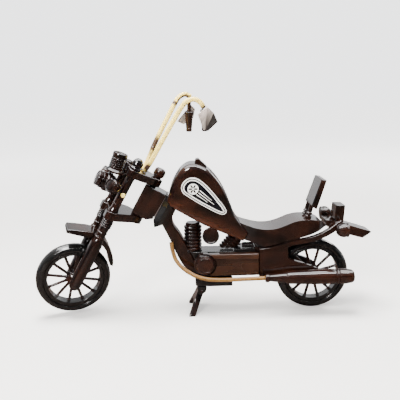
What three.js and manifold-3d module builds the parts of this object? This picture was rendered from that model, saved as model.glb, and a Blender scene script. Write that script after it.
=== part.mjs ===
// Wooden chopper motorcycle, a lacquered display model standing on its rear wheel and centre stand.
// Millimetres. +Z is up, the front of the motorcycle points to -X, and its left side to -Y.
// The steering head, the two wheels and the stand are separate groups, because they turn.

import * as THREE from 'three';
import { mergeVertices } from 'three/addons/utils/BufferGeometryUtils.js';
import Module from 'manifold-3d';

const wasm = await Module();
wasm.setup();

const rad = THREE.MathUtils.degToRad;

// ---------------------------------------------------------------- driving dimensions

const GAP = 0.3;                 // clearance between touching pieces
const MERGE_TOLERANCE = 1e-4;    // closer corners are one corner

const WHEEL_RADIUS = 42;
const WHEEL_WIDTH = 15.6;
const RING_INNER_RADIUS = 29.8;
const SPOKE_COUNT = 12;
const SPOKE_RADIUS = 1.25;
const HUB_RADIUS = 7.6;
const HUB_LENGTH = 17.4;
const AXLE_RADIUS = 2.5;
const AXLE_CLEARANCE = 0.35;
const REAR_AXLE = { x: 131, z: WHEEL_RADIUS, halfLength: 19.4 };

const RAKE = rad(29.3);          // the stem leans back by this much
const STEER_REST = rad(17.7);    // the bars are turned to the left by this much
const STEM = { x: -64, z: 130 }; // a point on the steering axis
const STEM_RADIUS = 4;

// The fork is drawn straight ahead: x back from the stem, y across, z up along the stem.
const LEG = { x: -32.3, y: 15.6, top: 24.6, bottom: -120.5 };
const LEG_UPPER_RADIUS = 5;
const LEG_YOKE_RADIUS = 5.6;
const FRONT_AXLE = { x: -33, z: -113.3, halfLength: 21.6 };
const UPPER_YOKE = { bottom: 25, top: 33.6 };
const LOWER_YOKE = { bottom: -28.8, rear: -14.2 };
const YOKE_PLAN = [
  [-35, 8.6], [-39.6, 10.8], [-39.6, 19.4], [-36, 23.2], [-29.6, 23.6], [1, 11.5], [5, 8.5],
];
const HEADLIGHT = { x: -38.6, z: 6 };
const LAMP_BAR = { z: 3.5, radius: 2.4, length: 44 };
const FRONT_SIGNAL = { x: -48, y: 25, z: 9.3, radius: 7.4, spigot: 12.4, turn: rad(31) };
const GAUGE = { x: -46.5, z: 19.3, tilt: rad(-9) };
const BAR_RADIUS = 2.7;
const GUARD_Y = 25;
const GUARD_THICKNESS = 2;
const GRIP_LEFT = { x: 5.4, y: -18.6, z: 126.4 };
const GRIP_RIGHT = { x: 3, y: 18.3, z: 115.6 };
const GRIP_RIGHT_SPIGOT = 13.2;

const TANK_WIDTH = 39;
const BADGE_THICKNESS = 1.2;
const SIDE_FRAME = { inner: 12.7, thickness: 7 };
const REAR_SIGNAL_LEFT = { x: 158.6, y: -28.9, z: 100 };
const REAR_SIGNAL_RIGHT = { x: 152, y: 28.9, z: 107 };
const BACKREST_POST = { x: 123.6, y: 8, z: 111.4, lean: rad(16) };

const CRANKCASE_HALF_WIDTH = 13;
const FRONT_CYLINDER = { x: -8.4, z: 74, radius: 10.4 };
const REAR_CYLINDER = { x: 26, z: 68.5, radius: 9.8, lean: rad(40) };
const PRIMARY_COVER_THICKNESS = 8.6;
const CLUTCH_COVER = { x: 4.6, z: 61, radius: 12.6 };
const TIMING_COVER_THICKNESS = 5;
const AIR_CLEANER = { x: 11.6, y: -7, z: 93.6 };
const STARTER_MOTOR = { x: 60.4, y: -9, z: 80.1 };
const MUFFLER = { x: 72, y: -29.5, z: 46.5 };
const STAND_PIVOT = { x: 0.5, z: 28 };
const STAND_LEAN = rad(22.3);
const STAND_PIN_RADIUS = 1.6;
const STAND_PIN_HALF_LENGTH = 18.4;
const STAND_BRACKET_Y = 14.4;

// ---------------------------------------------------------------- finishes

const LACQUER = { color: 0x35201a, roughness: 0.18, metalness: 0 };
const BLACK_LACQUER = { color: 0x0d0c0c, roughness: 0.15, metalness: 0 };
const GRAINED_LACQUER = { color: 0x4c3023, roughness: 0.22, metalness: 0 };
const CANE = { color: 0xdcc794, roughness: 0.45, metalness: 0 };
const ENAMEL_WHITE = { color: 0xe8e6e0, roughness: 0.35, metalness: 0 };

// ---------------------------------------------------------------- solids

function isProper(a, b, c) {
  return a !== b && b !== c && c !== a;
}

function trianglesOf(geometry) {
  const index = geometry.index.array;
  const kept = [];
  for (let i = 0; i < index.length; i += 3) {
    if (isProper(index[i], index[i + 1], index[i + 2])) {
      kept.push(index[i], index[i + 1], index[i + 2]);
    }
  }
  return kept;
}

function signedVolume(positions, triangles) {
  const [a, b, c] = [new THREE.Vector3(), new THREE.Vector3(), new THREE.Vector3()];
  let sum = 0;
  for (let i = 0; i < triangles.length; i += 3) {
    a.fromArray(positions, 3 * triangles[i]);
    b.fromArray(positions, 3 * triangles[i + 1]);
    c.fromArray(positions, 3 * triangles[i + 2]);
    sum += a.dot(b.cross(c)) / 6;
  }
  return sum;
}

function toSolid(geometry) {
  const plain = geometry.clone();
  plain.deleteAttribute('normal');
  plain.deleteAttribute('uv');
  const merged = mergeVertices(plain, MERGE_TOLERANCE);
  const positions = merged.attributes.position.array;
  const triangles = trianglesOf(merged);
  if (signedVolume(positions, triangles) < 0) {
    triangles.reverse();
  }
  return new wasm.Manifold(new wasm.Mesh({
    numProp: 3,
    vertProperties: Float32Array.from(positions),
    triVerts: Uint32Array.from(triangles),
  }));
}

function fromSolid(solid) {
  const mesh = solid.getMesh();
  const geometry = new THREE.BufferGeometry();
  geometry.setAttribute('position', new THREE.BufferAttribute(Float32Array.from(mesh.vertProperties), 3));
  geometry.setIndex(Array.from(mesh.triVerts));
  geometry.computeVertexNormals();
  return geometry;
}

function join(first, ...others) {
  return fromSolid(others.reduce((sum, other) => sum.add(toSolid(other)), toSolid(first)));
}

function cut(body, ...tools) {
  return fromSolid(tools.reduce((rest, tool) => rest.subtract(toSolid(tool)), toSolid(body)));
}

function common(first, second) {
  return fromSolid(toSolid(first).intersect(toSolid(second)));
}

function piece(name, geometry, finish) {
  const mesh = new THREE.Mesh(fromSolid(toSolid(geometry)), new THREE.MeshStandardMaterial(finish));
  mesh.name = name;
  return mesh;
}

// A round piece turned about Z. The profile is a list of [radius, z] from the low end to the high end.
function turned(profile, segments = 16) {
  const geometry = new THREE.LatheGeometry(profile.map(([r, z]) => new THREE.Vector2(r, z)), segments);
  return geometry.rotateX(Math.PI / 2);
}

// A plain dowel along Z, from low to high.
function dowel(radius, low, high, segments = 12) {
  return turned([[0, low], [radius, low], [radius, high], [0, high]], segments);
}

// The same turned or dowelled piece laid along Y: what pointed to +Z points to -Y.
function alongY(geometry) {
  return geometry.rotateX(Math.PI / 2);
}

// Laid along X: what pointed to +Z points to -X.
function alongX(geometry) {
  return geometry.rotateY(-Math.PI / 2);
}

function block(x0, x1, y0, y1, z0, z1) {
  const geometry = new THREE.BoxGeometry(x1 - x0, y1 - y0, z1 - z0);
  return geometry.translate((x0 + x1) / 2, (y0 + y1) / 2, (z0 + z1) / 2);
}

// A board sawn to a side outline [x, z] and as wide as given across Y, with eased or rounded edges.
function board(outline, width, { bevel = 0, depth = bevel, grow = 0, segments = 1 } = {}) {
  const shape = new THREE.Shape(outline.map(([x, z]) => new THREE.Vector2(x, z)));
  const geometry = new THREE.ExtrudeGeometry(shape, {
    depth: width - 2 * depth,
    bevelEnabled: bevel > 0,
    bevelThickness: depth,
    bevelSize: bevel,
    bevelOffset: grow - bevel,
    bevelSegments: segments,
  });
  geometry.translate(0, 0, depth - width / 2);
  return geometry.rotateX(Math.PI / 2);
}

// A board sawn to a plan outline [x, y], between two heights.
function plate(outline, low, high, bevel = 0) {
  const shape = new THREE.Shape(outline.map(([x, y]) => new THREE.Vector2(x, y)));
  const geometry = new THREE.ExtrudeGeometry(shape, {
    depth: high - low - 2 * bevel,
    bevelEnabled: bevel > 0,
    bevelThickness: bevel,
    bevelSize: bevel,
    bevelOffset: -bevel,
    bevelSegments: 1,
  });
  return geometry.translate(0, 0, low + bevel);
}

// Points on a smooth curve through the given ones.
function smooth(points, count) {
  const curve = new THREE.SplineCurve(points.map(([x, y]) => new THREE.Vector2(x, y)));
  return curve.getPoints(count).map((point) => [point.x, point.y]);
}

// A bent rod along a smooth curve through the given points.
function bentRod(points, radius, steps = 26) {
  const section = new THREE.Shape();
  section.absarc(0, 0, radius, 0, 2 * Math.PI);
  const path = new THREE.CatmullRomCurve3(points.map((point) => new THREE.Vector3(...point)));
  return new THREE.ExtrudeGeometry(section, {
    steps,
    curveSegments: 4,
    bevelEnabled: false,
    extrudePath: path,
  });
}

function mirrored(outline) {
  return outline.concat(outline.map(([x, y]) => [x, -y]).reverse());
}

// ---------------------------------------------------------------- wheels

function wheelRing() {
  const half = WHEEL_WIDTH / 2;
  const side = [
    [RING_INNER_RADIUS, half - 1.4], [34, half - 0.7], [34.8, half], [39, half - 0.8], [WHEEL_RADIUS, half - 5.6],
  ];
  const profile = side.map(([r, y]) => [r, -y]).concat(side.slice().reverse());
  profile.push(profile[0]);
  return alongY(turned(profile, 40));
}

function wheelHub() {
  const half = HUB_LENGTH / 2;
  const barrel = alongY(turned([
    [0, -half], [4.6, -half], [HUB_RADIUS, -half + 3.2], [HUB_RADIUS, half - 3.2], [4.6, half], [0, half],
  ]));
  const spokes = [];
  for (let i = 0; i < SPOKE_COUNT; i += 1) {
    const spoke = dowel(SPOKE_RADIUS, HUB_RADIUS - 2.5, RING_INNER_RADIUS - GAP, 6);
    spokes.push(spoke.rotateY((2 * Math.PI * (i + 0.5)) / SPOKE_COUNT));
  }
  const bore = alongY(dowel(AXLE_RADIUS + AXLE_CLEARANCE, -HUB_LENGTH, HUB_LENGTH));
  return cut(join(barrel, ...spokes), bore);
}

function axle({ x, z, halfLength }) {
  return alongY(dowel(AXLE_RADIUS, -halfLength, halfLength)).translate(x, 0, z);
}

function wheel(prefix) {
  const group = new THREE.Group();
  group.add(piece(`${prefix}_wheel_ring`, wheelRing(), BLACK_LACQUER));
  group.add(piece(`${prefix}_wheel_hub_and_spokes`, wheelHub(), LACQUER));
  return group;
}

// ---------------------------------------------------------------- fork, in straight-ahead position

function legProfile() {
  const rings = [];
  for (let i = 0; i < 4; i += 1) {
    const z = -37.5 + 2.4 * i;
    rings.push([5.5, z - 1.2], [6.3, z]);
  }
  return [
    [0, LEG.bottom], [4.6, LEG.bottom + 1], [6.9, LEG.bottom + 7], [7.2, -62], [6.6, -56.4], [5.5, -53.8],
    [6.4, -53], [6.4, -51], [5.4, -50.2], [5.5, -40], ...rings, [LEG_YOKE_RADIUS, -28.9], [LEG_YOKE_RADIUS, -17],
    [LEG_UPPER_RADIUS, -14], [LEG_UPPER_RADIUS, LEG.top], [0, LEG.top],
  ];
}

function forkLeg() {
  const axleHole = alongY(dowel(AXLE_RADIUS + GAP, -20, 20)).translate(FRONT_AXLE.x - LEG.x, 0, FRONT_AXLE.z);
  const barHole = alongY(dowel(LAMP_BAR.radius + GAP, -20, 20)).translate(0, 0, LAMP_BAR.z);
  return cut(turned(legProfile()), axleHole, barHole);
}

function stemHole(low, high) {
  return dowel(STEM_RADIUS + GAP, low, high);
}

// The yokes are cut back between the legs, to clear the lamp and the gauge.
function upperYoke() {
  const body = plate(mirrored(YOKE_PLAN), UPPER_YOKE.bottom, UPPER_YOKE.top, 0.8);
  return cut(body, stemHole(UPPER_YOKE.bottom - 2, UPPER_YOKE.top + 2));
}

// The lower yoke is sawn with its rear end higher than its front.
function lowerYoke() {
  const side = board([
    [-44, LOWER_YOKE.bottom], [-24, -26.6], [-6, -23], [6, -22.6], [6, LOWER_YOKE.rear], [-10, LOWER_YOKE.rear],
    [-44, -20.4],
  ], 60);
  const body = common(plate(mirrored(YOKE_PLAN), -40, 0), side);
  const legHoles = [-1, 1].map((hand) => {
    const hole = dowel(LEG_YOKE_RADIUS + GAP, LOWER_YOKE.bottom - 2, LOWER_YOKE.rear + 2, 16);
    return hole.translate(LEG.x, hand * LEG.y, 0);
  });
  return cut(body, stemHole(LOWER_YOKE.bottom - 2, LOWER_YOKE.rear + 2), ...legHoles);
}

function steeringStem() {
  return turned([[0, -25.4], [2.8, -25.2], [STEM_RADIUS, -24], [STEM_RADIUS, 36], [0, 36]], 12);
}

function stemNut() {
  const knob = turned([[0, 34], [5.4, 34], [6.4, 35.4], [6.4, 42.4], [4.4, 44.8], [0, 45]], 12);
  return cut(knob, stemHole(30, 36.4));
}

function forkCap() {
  return turned([[0, 34], [6.2, 34], [6.2, 36.6], [5.4, 37.4], [5.9, 40.4], [4.6, 44.6], [0, 47.2]], 12);
}

// The right leg ends in a low button instead of a cap.
function forkButton() {
  return turned([[0, 34], [5.4, 34], [4.6, 35.8], [0, 36.2]], 12);
}

function frontFender() {
  const outer = smooth([[-67, -58], [-54, -54.2], [-40, -51], [-29, -52.4], [-19, -57.6], [-10, -65],
    [-3.5, -73.5], [-0.8, -80]], 12);
  const inner = smooth([[-4.4, -80.6], [-8.8, -74.4], [-14, -68.2], [-22, -62.6], [-31, -59.6],
    [-44, -59.8], [-67, -63]], 10);
  const body = board(outer.concat(inner), 24, { bevel: 0.8 });
  const legRoom = [-1, 1].map((hand) => dowel(7.2 + GAP, -90, -40, 16).translate(LEG.x, hand * LEG.y, 0));
  return cut(body, ...legRoom);
}

// The spigot at the back reaches the lamp bar.
function headlightBody() {
  const shell = turned([[0, 0], [5, 0.4], [8.4, 4], [10.6, 9], [10.6, 12.4], [9.6, 13], [9.6, 18.2], [0, 18.2]]);
  const spigot = dowel(3, -2.8, 6).translate(LAMP_BAR.z - HEADLIGHT.z, 0, 0);
  return alongX(join(shell, spigot)).translate(HEADLIGHT.x, 0, HEADLIGHT.z);
}

function headlightLens() {
  return alongX(turned([
    [0, 18.5], [8.3, 18.5], [8.7, 19.2], [8.7, 22.6], [7.6, 23.6], [0, 24.8],
  ])).translate(HEADLIGHT.x, 0, HEADLIGHT.z);
}

function gauge() {
  const ribs = [];
  for (let i = 0; i < 5; i += 1) {
    ribs.push([8.5, 5.4 + 2.4 * i], [7.9, 6.6 + 2.4 * i]);
  }
  return turned([
    [0, 0], [9.6, 0], [10.4, 0.8], [10.4, 2.4], [8.4, 4.2], ...ribs, [8, 18.4], [7.8, 22.4], [0, 22.6],
  ]);
}

// A bullet-shaped lamp with its lens to -X. The spigot, to +X, is its mounting.
function bulletLamp(radius, spigotLength) {
  return alongX(turned([
    [0, -spigotLength], [2, -spigotLength], [2, -0.95 * radius], [0.85 * radius, -0.5 * radius], [radius, 0],
    [radius, 0.3 * radius], [0.9 * radius, 0.7 * radius], [0, 0.7 * radius],
  ], 12));
}

function handlebar(side) {
  const route = [
    [-18.2, 4.8 * side, 34.2], [-17.2, 5.2 * side, 43], [-17.3, 6.9 * side, 52], [-17.9, 8.8 * side, 63],
    [-18.1, 10.5 * side, 78], [-18, 12 * side, 100], [-17.6, 13.5 * side, 116], [-16.2, 15 * side, 124],
    [-11, 17 * side, 130], [-3.5, 18 * side, 130.6],
  ];
  if (side < 0) {
    route.push([3.6, -18.5, 127.4]);
  }
  return bentRod(route, BAR_RADIUS);
}

// A tapered grip hanging from its top end. The spigot above it meets the end of the bar.
function grip(spigotLength) {
  const profile = [[0, -23.6], [2.6, -23.6], [3, -22.4], [3.2, -14], [4.2, -4.4], [5, -2], [5, -0.6]];
  if (spigotLength > 0) {
    profile.push([2.2, -0.6], [2.2, spigotLength]);
  }
  profile.push([0, profile.at(-1)[1]]);
  return turned(profile, 12);
}

function placedGrip(place, spigotLength) {
  return grip(spigotLength).rotateY(-RAKE).translate(place.x, place.y, place.z);
}

// A kite-shaped shield on the outer side of each grip.
function guardLeft() {
  const outline = [[3, 130], [-1, 118], [13, 106], [17.8, 107.6], [23, 121], [18, 126.4]];
  return board(outline, GUARD_THICKNESS).translate(0, -GUARD_Y, 0);
}

function guardRight() {
  const outline = [[-2, 98], [0.4, 109], [4.6, 122.4], [11, 120.6], [13.4, 110.4], [8, 99]];
  return board(outline, GUARD_THICKNESS).translate(0, GUARD_Y, 0);
}

function fork() {
  const group = new THREE.Group();
  for (const [side, hand] of [[-1, 'left'], [1, 'right']]) {
    const leg = piece(`fork_leg_${hand}`, forkLeg(), LACQUER);
    leg.position.set(LEG.x, side * LEG.y, 0);
    const cap = piece(`fork_cap_${hand}`, side < 0 ? forkCap() : forkButton(), LACQUER);
    cap.position.copy(leg.position);
    const signal = piece(`front_signal_${hand}`, bulletLamp(FRONT_SIGNAL.radius, FRONT_SIGNAL.spigot), LACQUER);
    signal.position.set(FRONT_SIGNAL.x, side * FRONT_SIGNAL.y, FRONT_SIGNAL.z);
    signal.rotation.z = -side * FRONT_SIGNAL.turn;
    group.add(leg, cap, signal, piece(`handlebar_${hand}`, handlebar(side), CANE));
  }
  group.add(piece('grip_left', placedGrip(GRIP_LEFT, 0), GRAINED_LACQUER));
  group.add(piece('grip_right', placedGrip(GRIP_RIGHT, GRIP_RIGHT_SPIGOT), GRAINED_LACQUER));
  group.add(piece('hand_guard_left', guardLeft(), LACQUER));
  group.add(piece('hand_guard_right', guardRight(), LACQUER));
  group.add(piece('lower_yoke', lowerYoke(), LACQUER));
  group.add(piece('upper_yoke', upperYoke(), LACQUER));
  group.add(piece('steering_stem', steeringStem(), LACQUER));
  group.add(piece('stem_nut', stemNut(), LACQUER));
  group.add(piece('front_fender', frontFender(), LACQUER));
  const crossBar = alongY(dowel(LAMP_BAR.radius, -LAMP_BAR.length / 2, LAMP_BAR.length / 2));
  group.add(piece('lamp_bar', crossBar.translate(LEG.x, 0, LAMP_BAR.z), CANE));
  group.add(piece('headlight_body', headlightBody(), LACQUER));
  group.add(piece('headlight_lens', headlightLens(), LACQUER));
  const instrument = piece('gauge', gauge(), LACQUER);
  instrument.position.set(GAUGE.x, 0, GAUGE.z);
  instrument.rotation.y = GAUGE.tilt;
  group.add(instrument);
  group.add(piece('front_axle', axle(FRONT_AXLE), LACQUER));
  const frontWheel = wheel('front');
  frontWheel.position.set(FRONT_AXLE.x, 0, FRONT_AXLE.z);
  group.add(frontWheel);
  return group;
}

// ---------------------------------------------------------------- steering head, fixed to the frame

function neckBlock() {
  const body = board([[-7.6, -13.4], [10.5, -13.4], [17, -9], [18, 22.6], [-7.6, 22.6]], 26, { bevel: 0.8 });
  return cut(body, dowel(STEM_RADIUS + 0.5, -20, 30));
}

// A board behind the neck block, wider than the block, with its front corners cut back.
function headPlate() {
  const plan = plate(mirrored([[18.4, 13], [24.4, 19.4], [34, 19.4]]), -40, 60);
  const side = board([[18.4, 22.6], [18.4, -10], [22.6, -15.6], [29, -8.5], [29, 14], [24.6, 17.5],
    [21.6, 22.6]], 60);
  const tankSpace = tank(GAP + 0.1).translate(-STEM.x, 0, -STEM.z).rotateY(-RAKE);
  return cut(common(plan, side), tankSpace);
}

// ---------------------------------------------------------------- tank and seat

const TANK_OUTLINE = [
  [-33.5, 129],
  ...smooth([[-36.4, 134.5], [-32.4, 148.5], [-27, 160.5], [-20, 170.2], [-12.5, 175], [-4.5, 175.6],
    [4, 172.6], [11.4, 167.4], [18.2, 160], [24.6, 150.8], [30.4, 139.6], [35.4, 127], [40, 115], [54.6, 95.4]], 18),
  [48.6, 86.4],
  [4, 106],
  [-26, 123.5],
];

function tank(grow = 0) {
  return board(TANK_OUTLINE, TANK_WIDTH + 2 * grow, { bevel: 4.5, depth: 7, grow, segments: 2 });
}

function fillerCap() {
  const body = board([[-6.2, 173], [-2.4, 180.4], [-0.8, 180.4], [9, 170.4], [9, 166], [-6.2, 166]], 11,
    { bevel: 0.8 });
  return cut(body, tank(GAP));
}

function badge() {
  const outline = smooth([[-20.6, 150.6], [-17, 157.4], [-10.6, 161], [-2.6, 160], [6, 153.8], [14, 145],
    [21.4, 135.6], [27.6, 127], [29.4, 122], [27.4, 119.4], [23.6, 119], [5, 128.4], [-13, 139.8],
    [-19.2, 145], [-20.6, 150.6]], 24);
  return board(outline.slice(0, -1), BADGE_THICKNESS);
}

const SEAT_TOP = [[40, 111], [48, 106.8], [56, 104], [64, 101.6], [74, 100.3], [84, 101], [94, 104],
  [103, 107.6], [111, 109.8], [121, 110.4], [131, 109.4], [138, 107]];
const SEAT_UNDERSIDE = [[140, 99.6], [125, 93.2], [106, 88.3], [90, 84.6], [80, 81.8], [72, 80],
  [62, 84.2], [55, 86.6], [44, 90]];

function seatPlan() {
  return mirrored([[30, 15], [48, 16.6], [62, 19.6], [84, 21], [118, 21], [134, 19], [141, 13]]);
}

function seat() {
  const sawn = board(smooth(SEAT_TOP, 18).concat(SEAT_UNDERSIDE), 50);
  return cut(common(sawn, plate(seatPlan(), 60, 130)), tank(GAP + 0.2));
}

function backrestPad() {
  return board([[125.4, 125.4], [136.2, 155.8], [142.2, 154.6], [131.4, 121]], 34, { bevel: 1.2 });
}

function backrestPost() {
  return turned([[0, 0], [3.5, 0], [3.5, 1.4], [2.7, 2.4], [3.5, 3.6], [2.6, 5.4], [2.6, 12.2], [0, 12.2]], 10);
}

// ---------------------------------------------------------------- frame

function frontCylinderSpace() {
  const radius = FRONT_CYLINDER.radius + GAP + 0.2;
  return dowel(radius, FRONT_CYLINDER.z - 2, 130, 20).translate(FRONT_CYLINDER.x, 0, 0);
}

function steeringHeadSpace() {
  const outline = [[0, 60], [0, -8.2], [17.9, -10.3], [22.5, -16.1], [29.3, -8.9], [29.3, 60]];
  const space = board(outline, 60);
  return space.rotateY(RAKE).translate(STEM.x, 0, STEM.z);
}

function downTube() {
  const front = smooth([[-46.6, 112.6], [-40.5, 99.5], [-33.4, 84.6], [-27, 69], [-19.6, 55.6], [-10.5, 46.8],
    [-6.4, 44.4]], 9);
  const back = smooth([[2.4, 44.4], [-5.6, 60.6], [-14.6, 78], [-24, 95.4], [-30.6, 105.4], [-31.6, 113],
    [-27.6, 122.4]], 9);
  const body = board([...front, ...back, [-33.8, 128.4], [-38, 124]], 17, { bevel: 1.6 });
  return cut(body, frontCylinderSpace(), steeringHeadSpace());
}

function sideFrame() {
  const railTop = smooth([[80, 79.4], [90, 82.6], [105, 86.3], [118, 88.6], [130, 91.6], [142, 97],
    [151, 103.6], [158.5, 109.4]], 9);
  const railUnder = smooth([[162, 104.4], [152, 95.6], [138, 88], [124, 83.4], [108, 80.8],
    [99.4, 79.4]], 6);
  const tail = smooth([[99.4, 67], [103.5, 64], [114, 60.4], [127, 55.6], [136.5, 50.6], [140.4, 43.6], [138, 36.4],
    [131, 33.4], [110, 38], [88, 44.6]], 14);
  const outline = [[66.4, 46], [66.4, 77.6], ...railTop, ...railUnder, ...tail];
  const body = board(outline, SIDE_FRAME.thickness, { bevel: 1 });
  return cut(body, alongY(dowel(AXLE_RADIUS + GAP, -20, 20)).translate(REAR_AXLE.x, 0, REAR_AXLE.z));
}

function rearBlock() {
  const outline = [[62, 44], [62, 78.4], [70, 78.4], [80, 81.2], [84, 82.4], [84, 46]];
  return board(outline, 2 * SIDE_FRAME.inner - 2 * GAP);
}

function tailPlate() {
  const body = board([[143.4, 107.6], [151, 107], [164, 103.2], [197, 92.6], [186.4, 85.6], [175, 88.8],
    [163, 92.6], [152, 97.2], [143.8, 101]], 50);
  return common(body, plate(mirrored([[143, 11.8], [164, 12.2], [180, 12.2], [200, 11]]), 70, 130));
}

// A round lamp at the end of a side frame, on a short dowel that reaches the frame's outer face.
function rearSignal(place) {
  const side = Math.sign(place.y);
  const reach = Math.abs(place.y) - SIDE_FRAME.inner - SIDE_FRAME.thickness - GAP;
  const stem = alongY(dowel(2, 0, reach)).rotateZ(side < 0 ? Math.PI : 0);
  const lampBody = bulletLamp(8, 7).rotateZ(side < 0 ? Math.PI : 0);
  return join(lampBody, stem).translate(place.x, place.y, place.z);
}

function taillight() {
  return board([[153.6, 107.9], [155.4, 124.4], [165.8, 124.2], [164.4, 105], [164, 103.3]], 20, { bevel: 0.9 });
}

// ---------------------------------------------------------------- engine

function ribbedCylinder(ribs, pitch, radius) {
  const profile = [[0, 0]];
  for (let i = 0; i < ribs; i += 1) {
    profile.push([radius - 1.8, pitch * i], [radius, pitch * (i + 0.5)]);
  }
  const top = pitch * ribs;
  profile.push([radius - 2, top], [radius - 2, top + 2.2], [radius - 3, top + 3.2], [0, top + 3.2]);
  return turned(profile);
}

function frontCylinder() {
  return ribbedCylinder(7, 4.15, FRONT_CYLINDER.radius).translate(FRONT_CYLINDER.x, 0, FRONT_CYLINDER.z);
}

// The rear cylinder leans back, and stands on the crankcase with its underside cut level.
function rearCylinder() {
  const leaning = ribbedCylinder(6, 3.8, REAR_CYLINDER.radius).rotateY(REAR_CYLINDER.lean);
  const belowCrankcaseTop = block(-20, 80, -30, 30, 40, 76.8);
  return cut(leaning.translate(REAR_CYLINDER.x, 0, REAR_CYLINDER.z), belowCrankcaseTop, tank(GAP + 0.2));
}

function crankcase() {
  const outline = [[3.6, 44.2], [-4.6, 60.8], [-11.4, 73.7], [38, 73.7], [38, 76.4], [61.7, 76.4], [61.7, 44.2]];
  return board(outline, 2 * CRANKCASE_HALF_WIDTH, { bevel: 0.8 });
}

function primaryCover() {
  const y = -CRANKCASE_HALF_WIDTH - GAP - PRIMARY_COVER_THICKNESS / 2;
  const outline = [[-2, 49.6], [-2, 73], [65.8, 73], [65.8, 49.6]];
  const body = board(outline, PRIMARY_COVER_THICKNESS, { bevel: 1 });
  const boss = alongY(dowel(CLUTCH_COVER.radius + GAP, -20, 20, 20)).translate(CLUTCH_COVER.x, 0, CLUTCH_COVER.z);
  return cut(body.translate(0, y, 0), boss.translate(0, y, 0), block(-20, CLUTCH_COVER.x, -60, 0, 0, 100));
}

function clutchCover() {
  return alongY(turned([
    [0, 0], [CLUTCH_COVER.radius, 0], [CLUTCH_COVER.radius, 7.4], [10.4, 8.8], [9.8, 12.4], [8.6, 13.6], [0, 14],
  ], 20)).translate(CLUTCH_COVER.x, -CRANKCASE_HALF_WIDTH - GAP, CLUTCH_COVER.z);
}

function timingCover() {
  const outline = [[-1, 50], [-4, 61], [2, 70.5], [20, 71], [27, 62], [24, 50]];
  const y = CRANKCASE_HALF_WIDTH + GAP + TIMING_COVER_THICKNESS / 2;
  return board(outline, TIMING_COVER_THICKNESS, { bevel: 1 }).translate(0, y, 0);
}

function airCleaner() {
  const disc = alongY(turned([
    [0, 0], [4, 0], [4, 6], [8.2, 6.4], [9.6, 7.4], [9.6, 11], [8.4, 12], [0, 12],
  ]));
  return cut(disc.translate(AIR_CLEANER.x, AIR_CLEANER.y, AIR_CLEANER.z), tank(GAP));
}

function starterMotor() {
  const body = turned([[0, 0], [2.8, 0], [3.4, 0.6], [3.4, 12], [2.6, 12.8], [0, 12.8]], 12);
  return alongX(body).translate(STARTER_MOTOR.x, STARTER_MOTOR.y, STARTER_MOTOR.z);
}

function exhaustPipe() {
  return bentRod([
    [-33.4, -11.4, 86], [-32.2, -14, 78], [-28.2, -18.6, 66.6], [-19, -23.4, 57.2], [-8, -26.6, 50.8],
    [5, -28.6, 46.9], [18, -29.2, 45.7], [40, -29.5, 45.8], [71.5, MUFFLER.y, MUFFLER.z],
  ], 2.3);
}

function muffler() {
  const profile = [
    [0, 0], [4.6, 0], [4.6, 4.4], [3.8, 5], [6, 25], [8, 52], [8.7, 79], [7.9, 80], [8.8, 81.4], [7.9, 83],
    [8.8, 84.4], [8.4, 98.6], [7.2, 100], [5.4, 100], [5, 97], [0, 97],
  ];
  return turned(profile).rotateY(Math.PI / 2).translate(MUFFLER.x, MUFFLER.y, MUFFLER.z);
}

// ---------------------------------------------------------------- underside and stand

function bottomBoard() {
  return board([[-6.6, 34.6], [-6.6, 43.6], [36, 43.6], [36, 33.4], [8, 33.4]], 34, { bevel: 0.8 });
}

function standBracket(side) {
  const ear = board([[-5, 33], [6.6, 33], [5, 26.6], [0.5, 23.8], [-3.6, 26.4]], 4, { bevel: 0.5 });
  const hole = alongY(dowel(STAND_PIN_RADIUS + GAP, -10, 10)).translate(STAND_PIVOT.x, 0, STAND_PIVOT.z);
  return cut(ear, hole).translate(0, side * STAND_BRACKET_Y, 0);
}

function standPin() {
  const pin = alongY(dowel(STAND_PIN_RADIUS, -STAND_PIN_HALF_LENGTH, STAND_PIN_HALF_LENGTH));
  return pin.translate(STAND_PIVOT.x, 0, STAND_PIVOT.z);
}

// The stand is an arched board, hung from its pin. Its feet are cut level with the surface it stands on.
function stand() {
  const outline = [[-11.6, 3.6], [-11.6, -7], [-13.6, -12], [-25.6, -34], [-25.6, -40], [-17.6, -40], [-17.6, -33],
    [-12, -23.6], [-6, -19.4], [0, -18.4]];
  const shape = outline.concat(outline.slice(0, -1).map(([y, z]) => [-y, z]).reverse());
  const flat = board(shape, 7, { bevel: 0.8 }).rotateZ(Math.PI / 2);
  const hole = alongY(dowel(STAND_PIN_RADIUS + GAP, -40, 40));
  const leaning = cut(flat, hole).rotateY(STAND_LEAN).translate(STAND_PIVOT.x, 0, STAND_PIVOT.z);
  return cut(leaning, block(-60, 60, -60, 60, -60, 0));
}

// ---------------------------------------------------------------- assembly

function steeringHead() {
  const head = new THREE.Group();
  head.position.set(STEM.x, 0, STEM.z);
  head.rotation.y = RAKE;
  head.add(piece('neck_block', neckBlock(), LACQUER));
  head.add(piece('head_plate', headPlate(), LACQUER));
  const turnedFork = fork();
  turnedFork.rotation.z = STEER_REST;
  head.add(turnedFork);
  return head;
}

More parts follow.
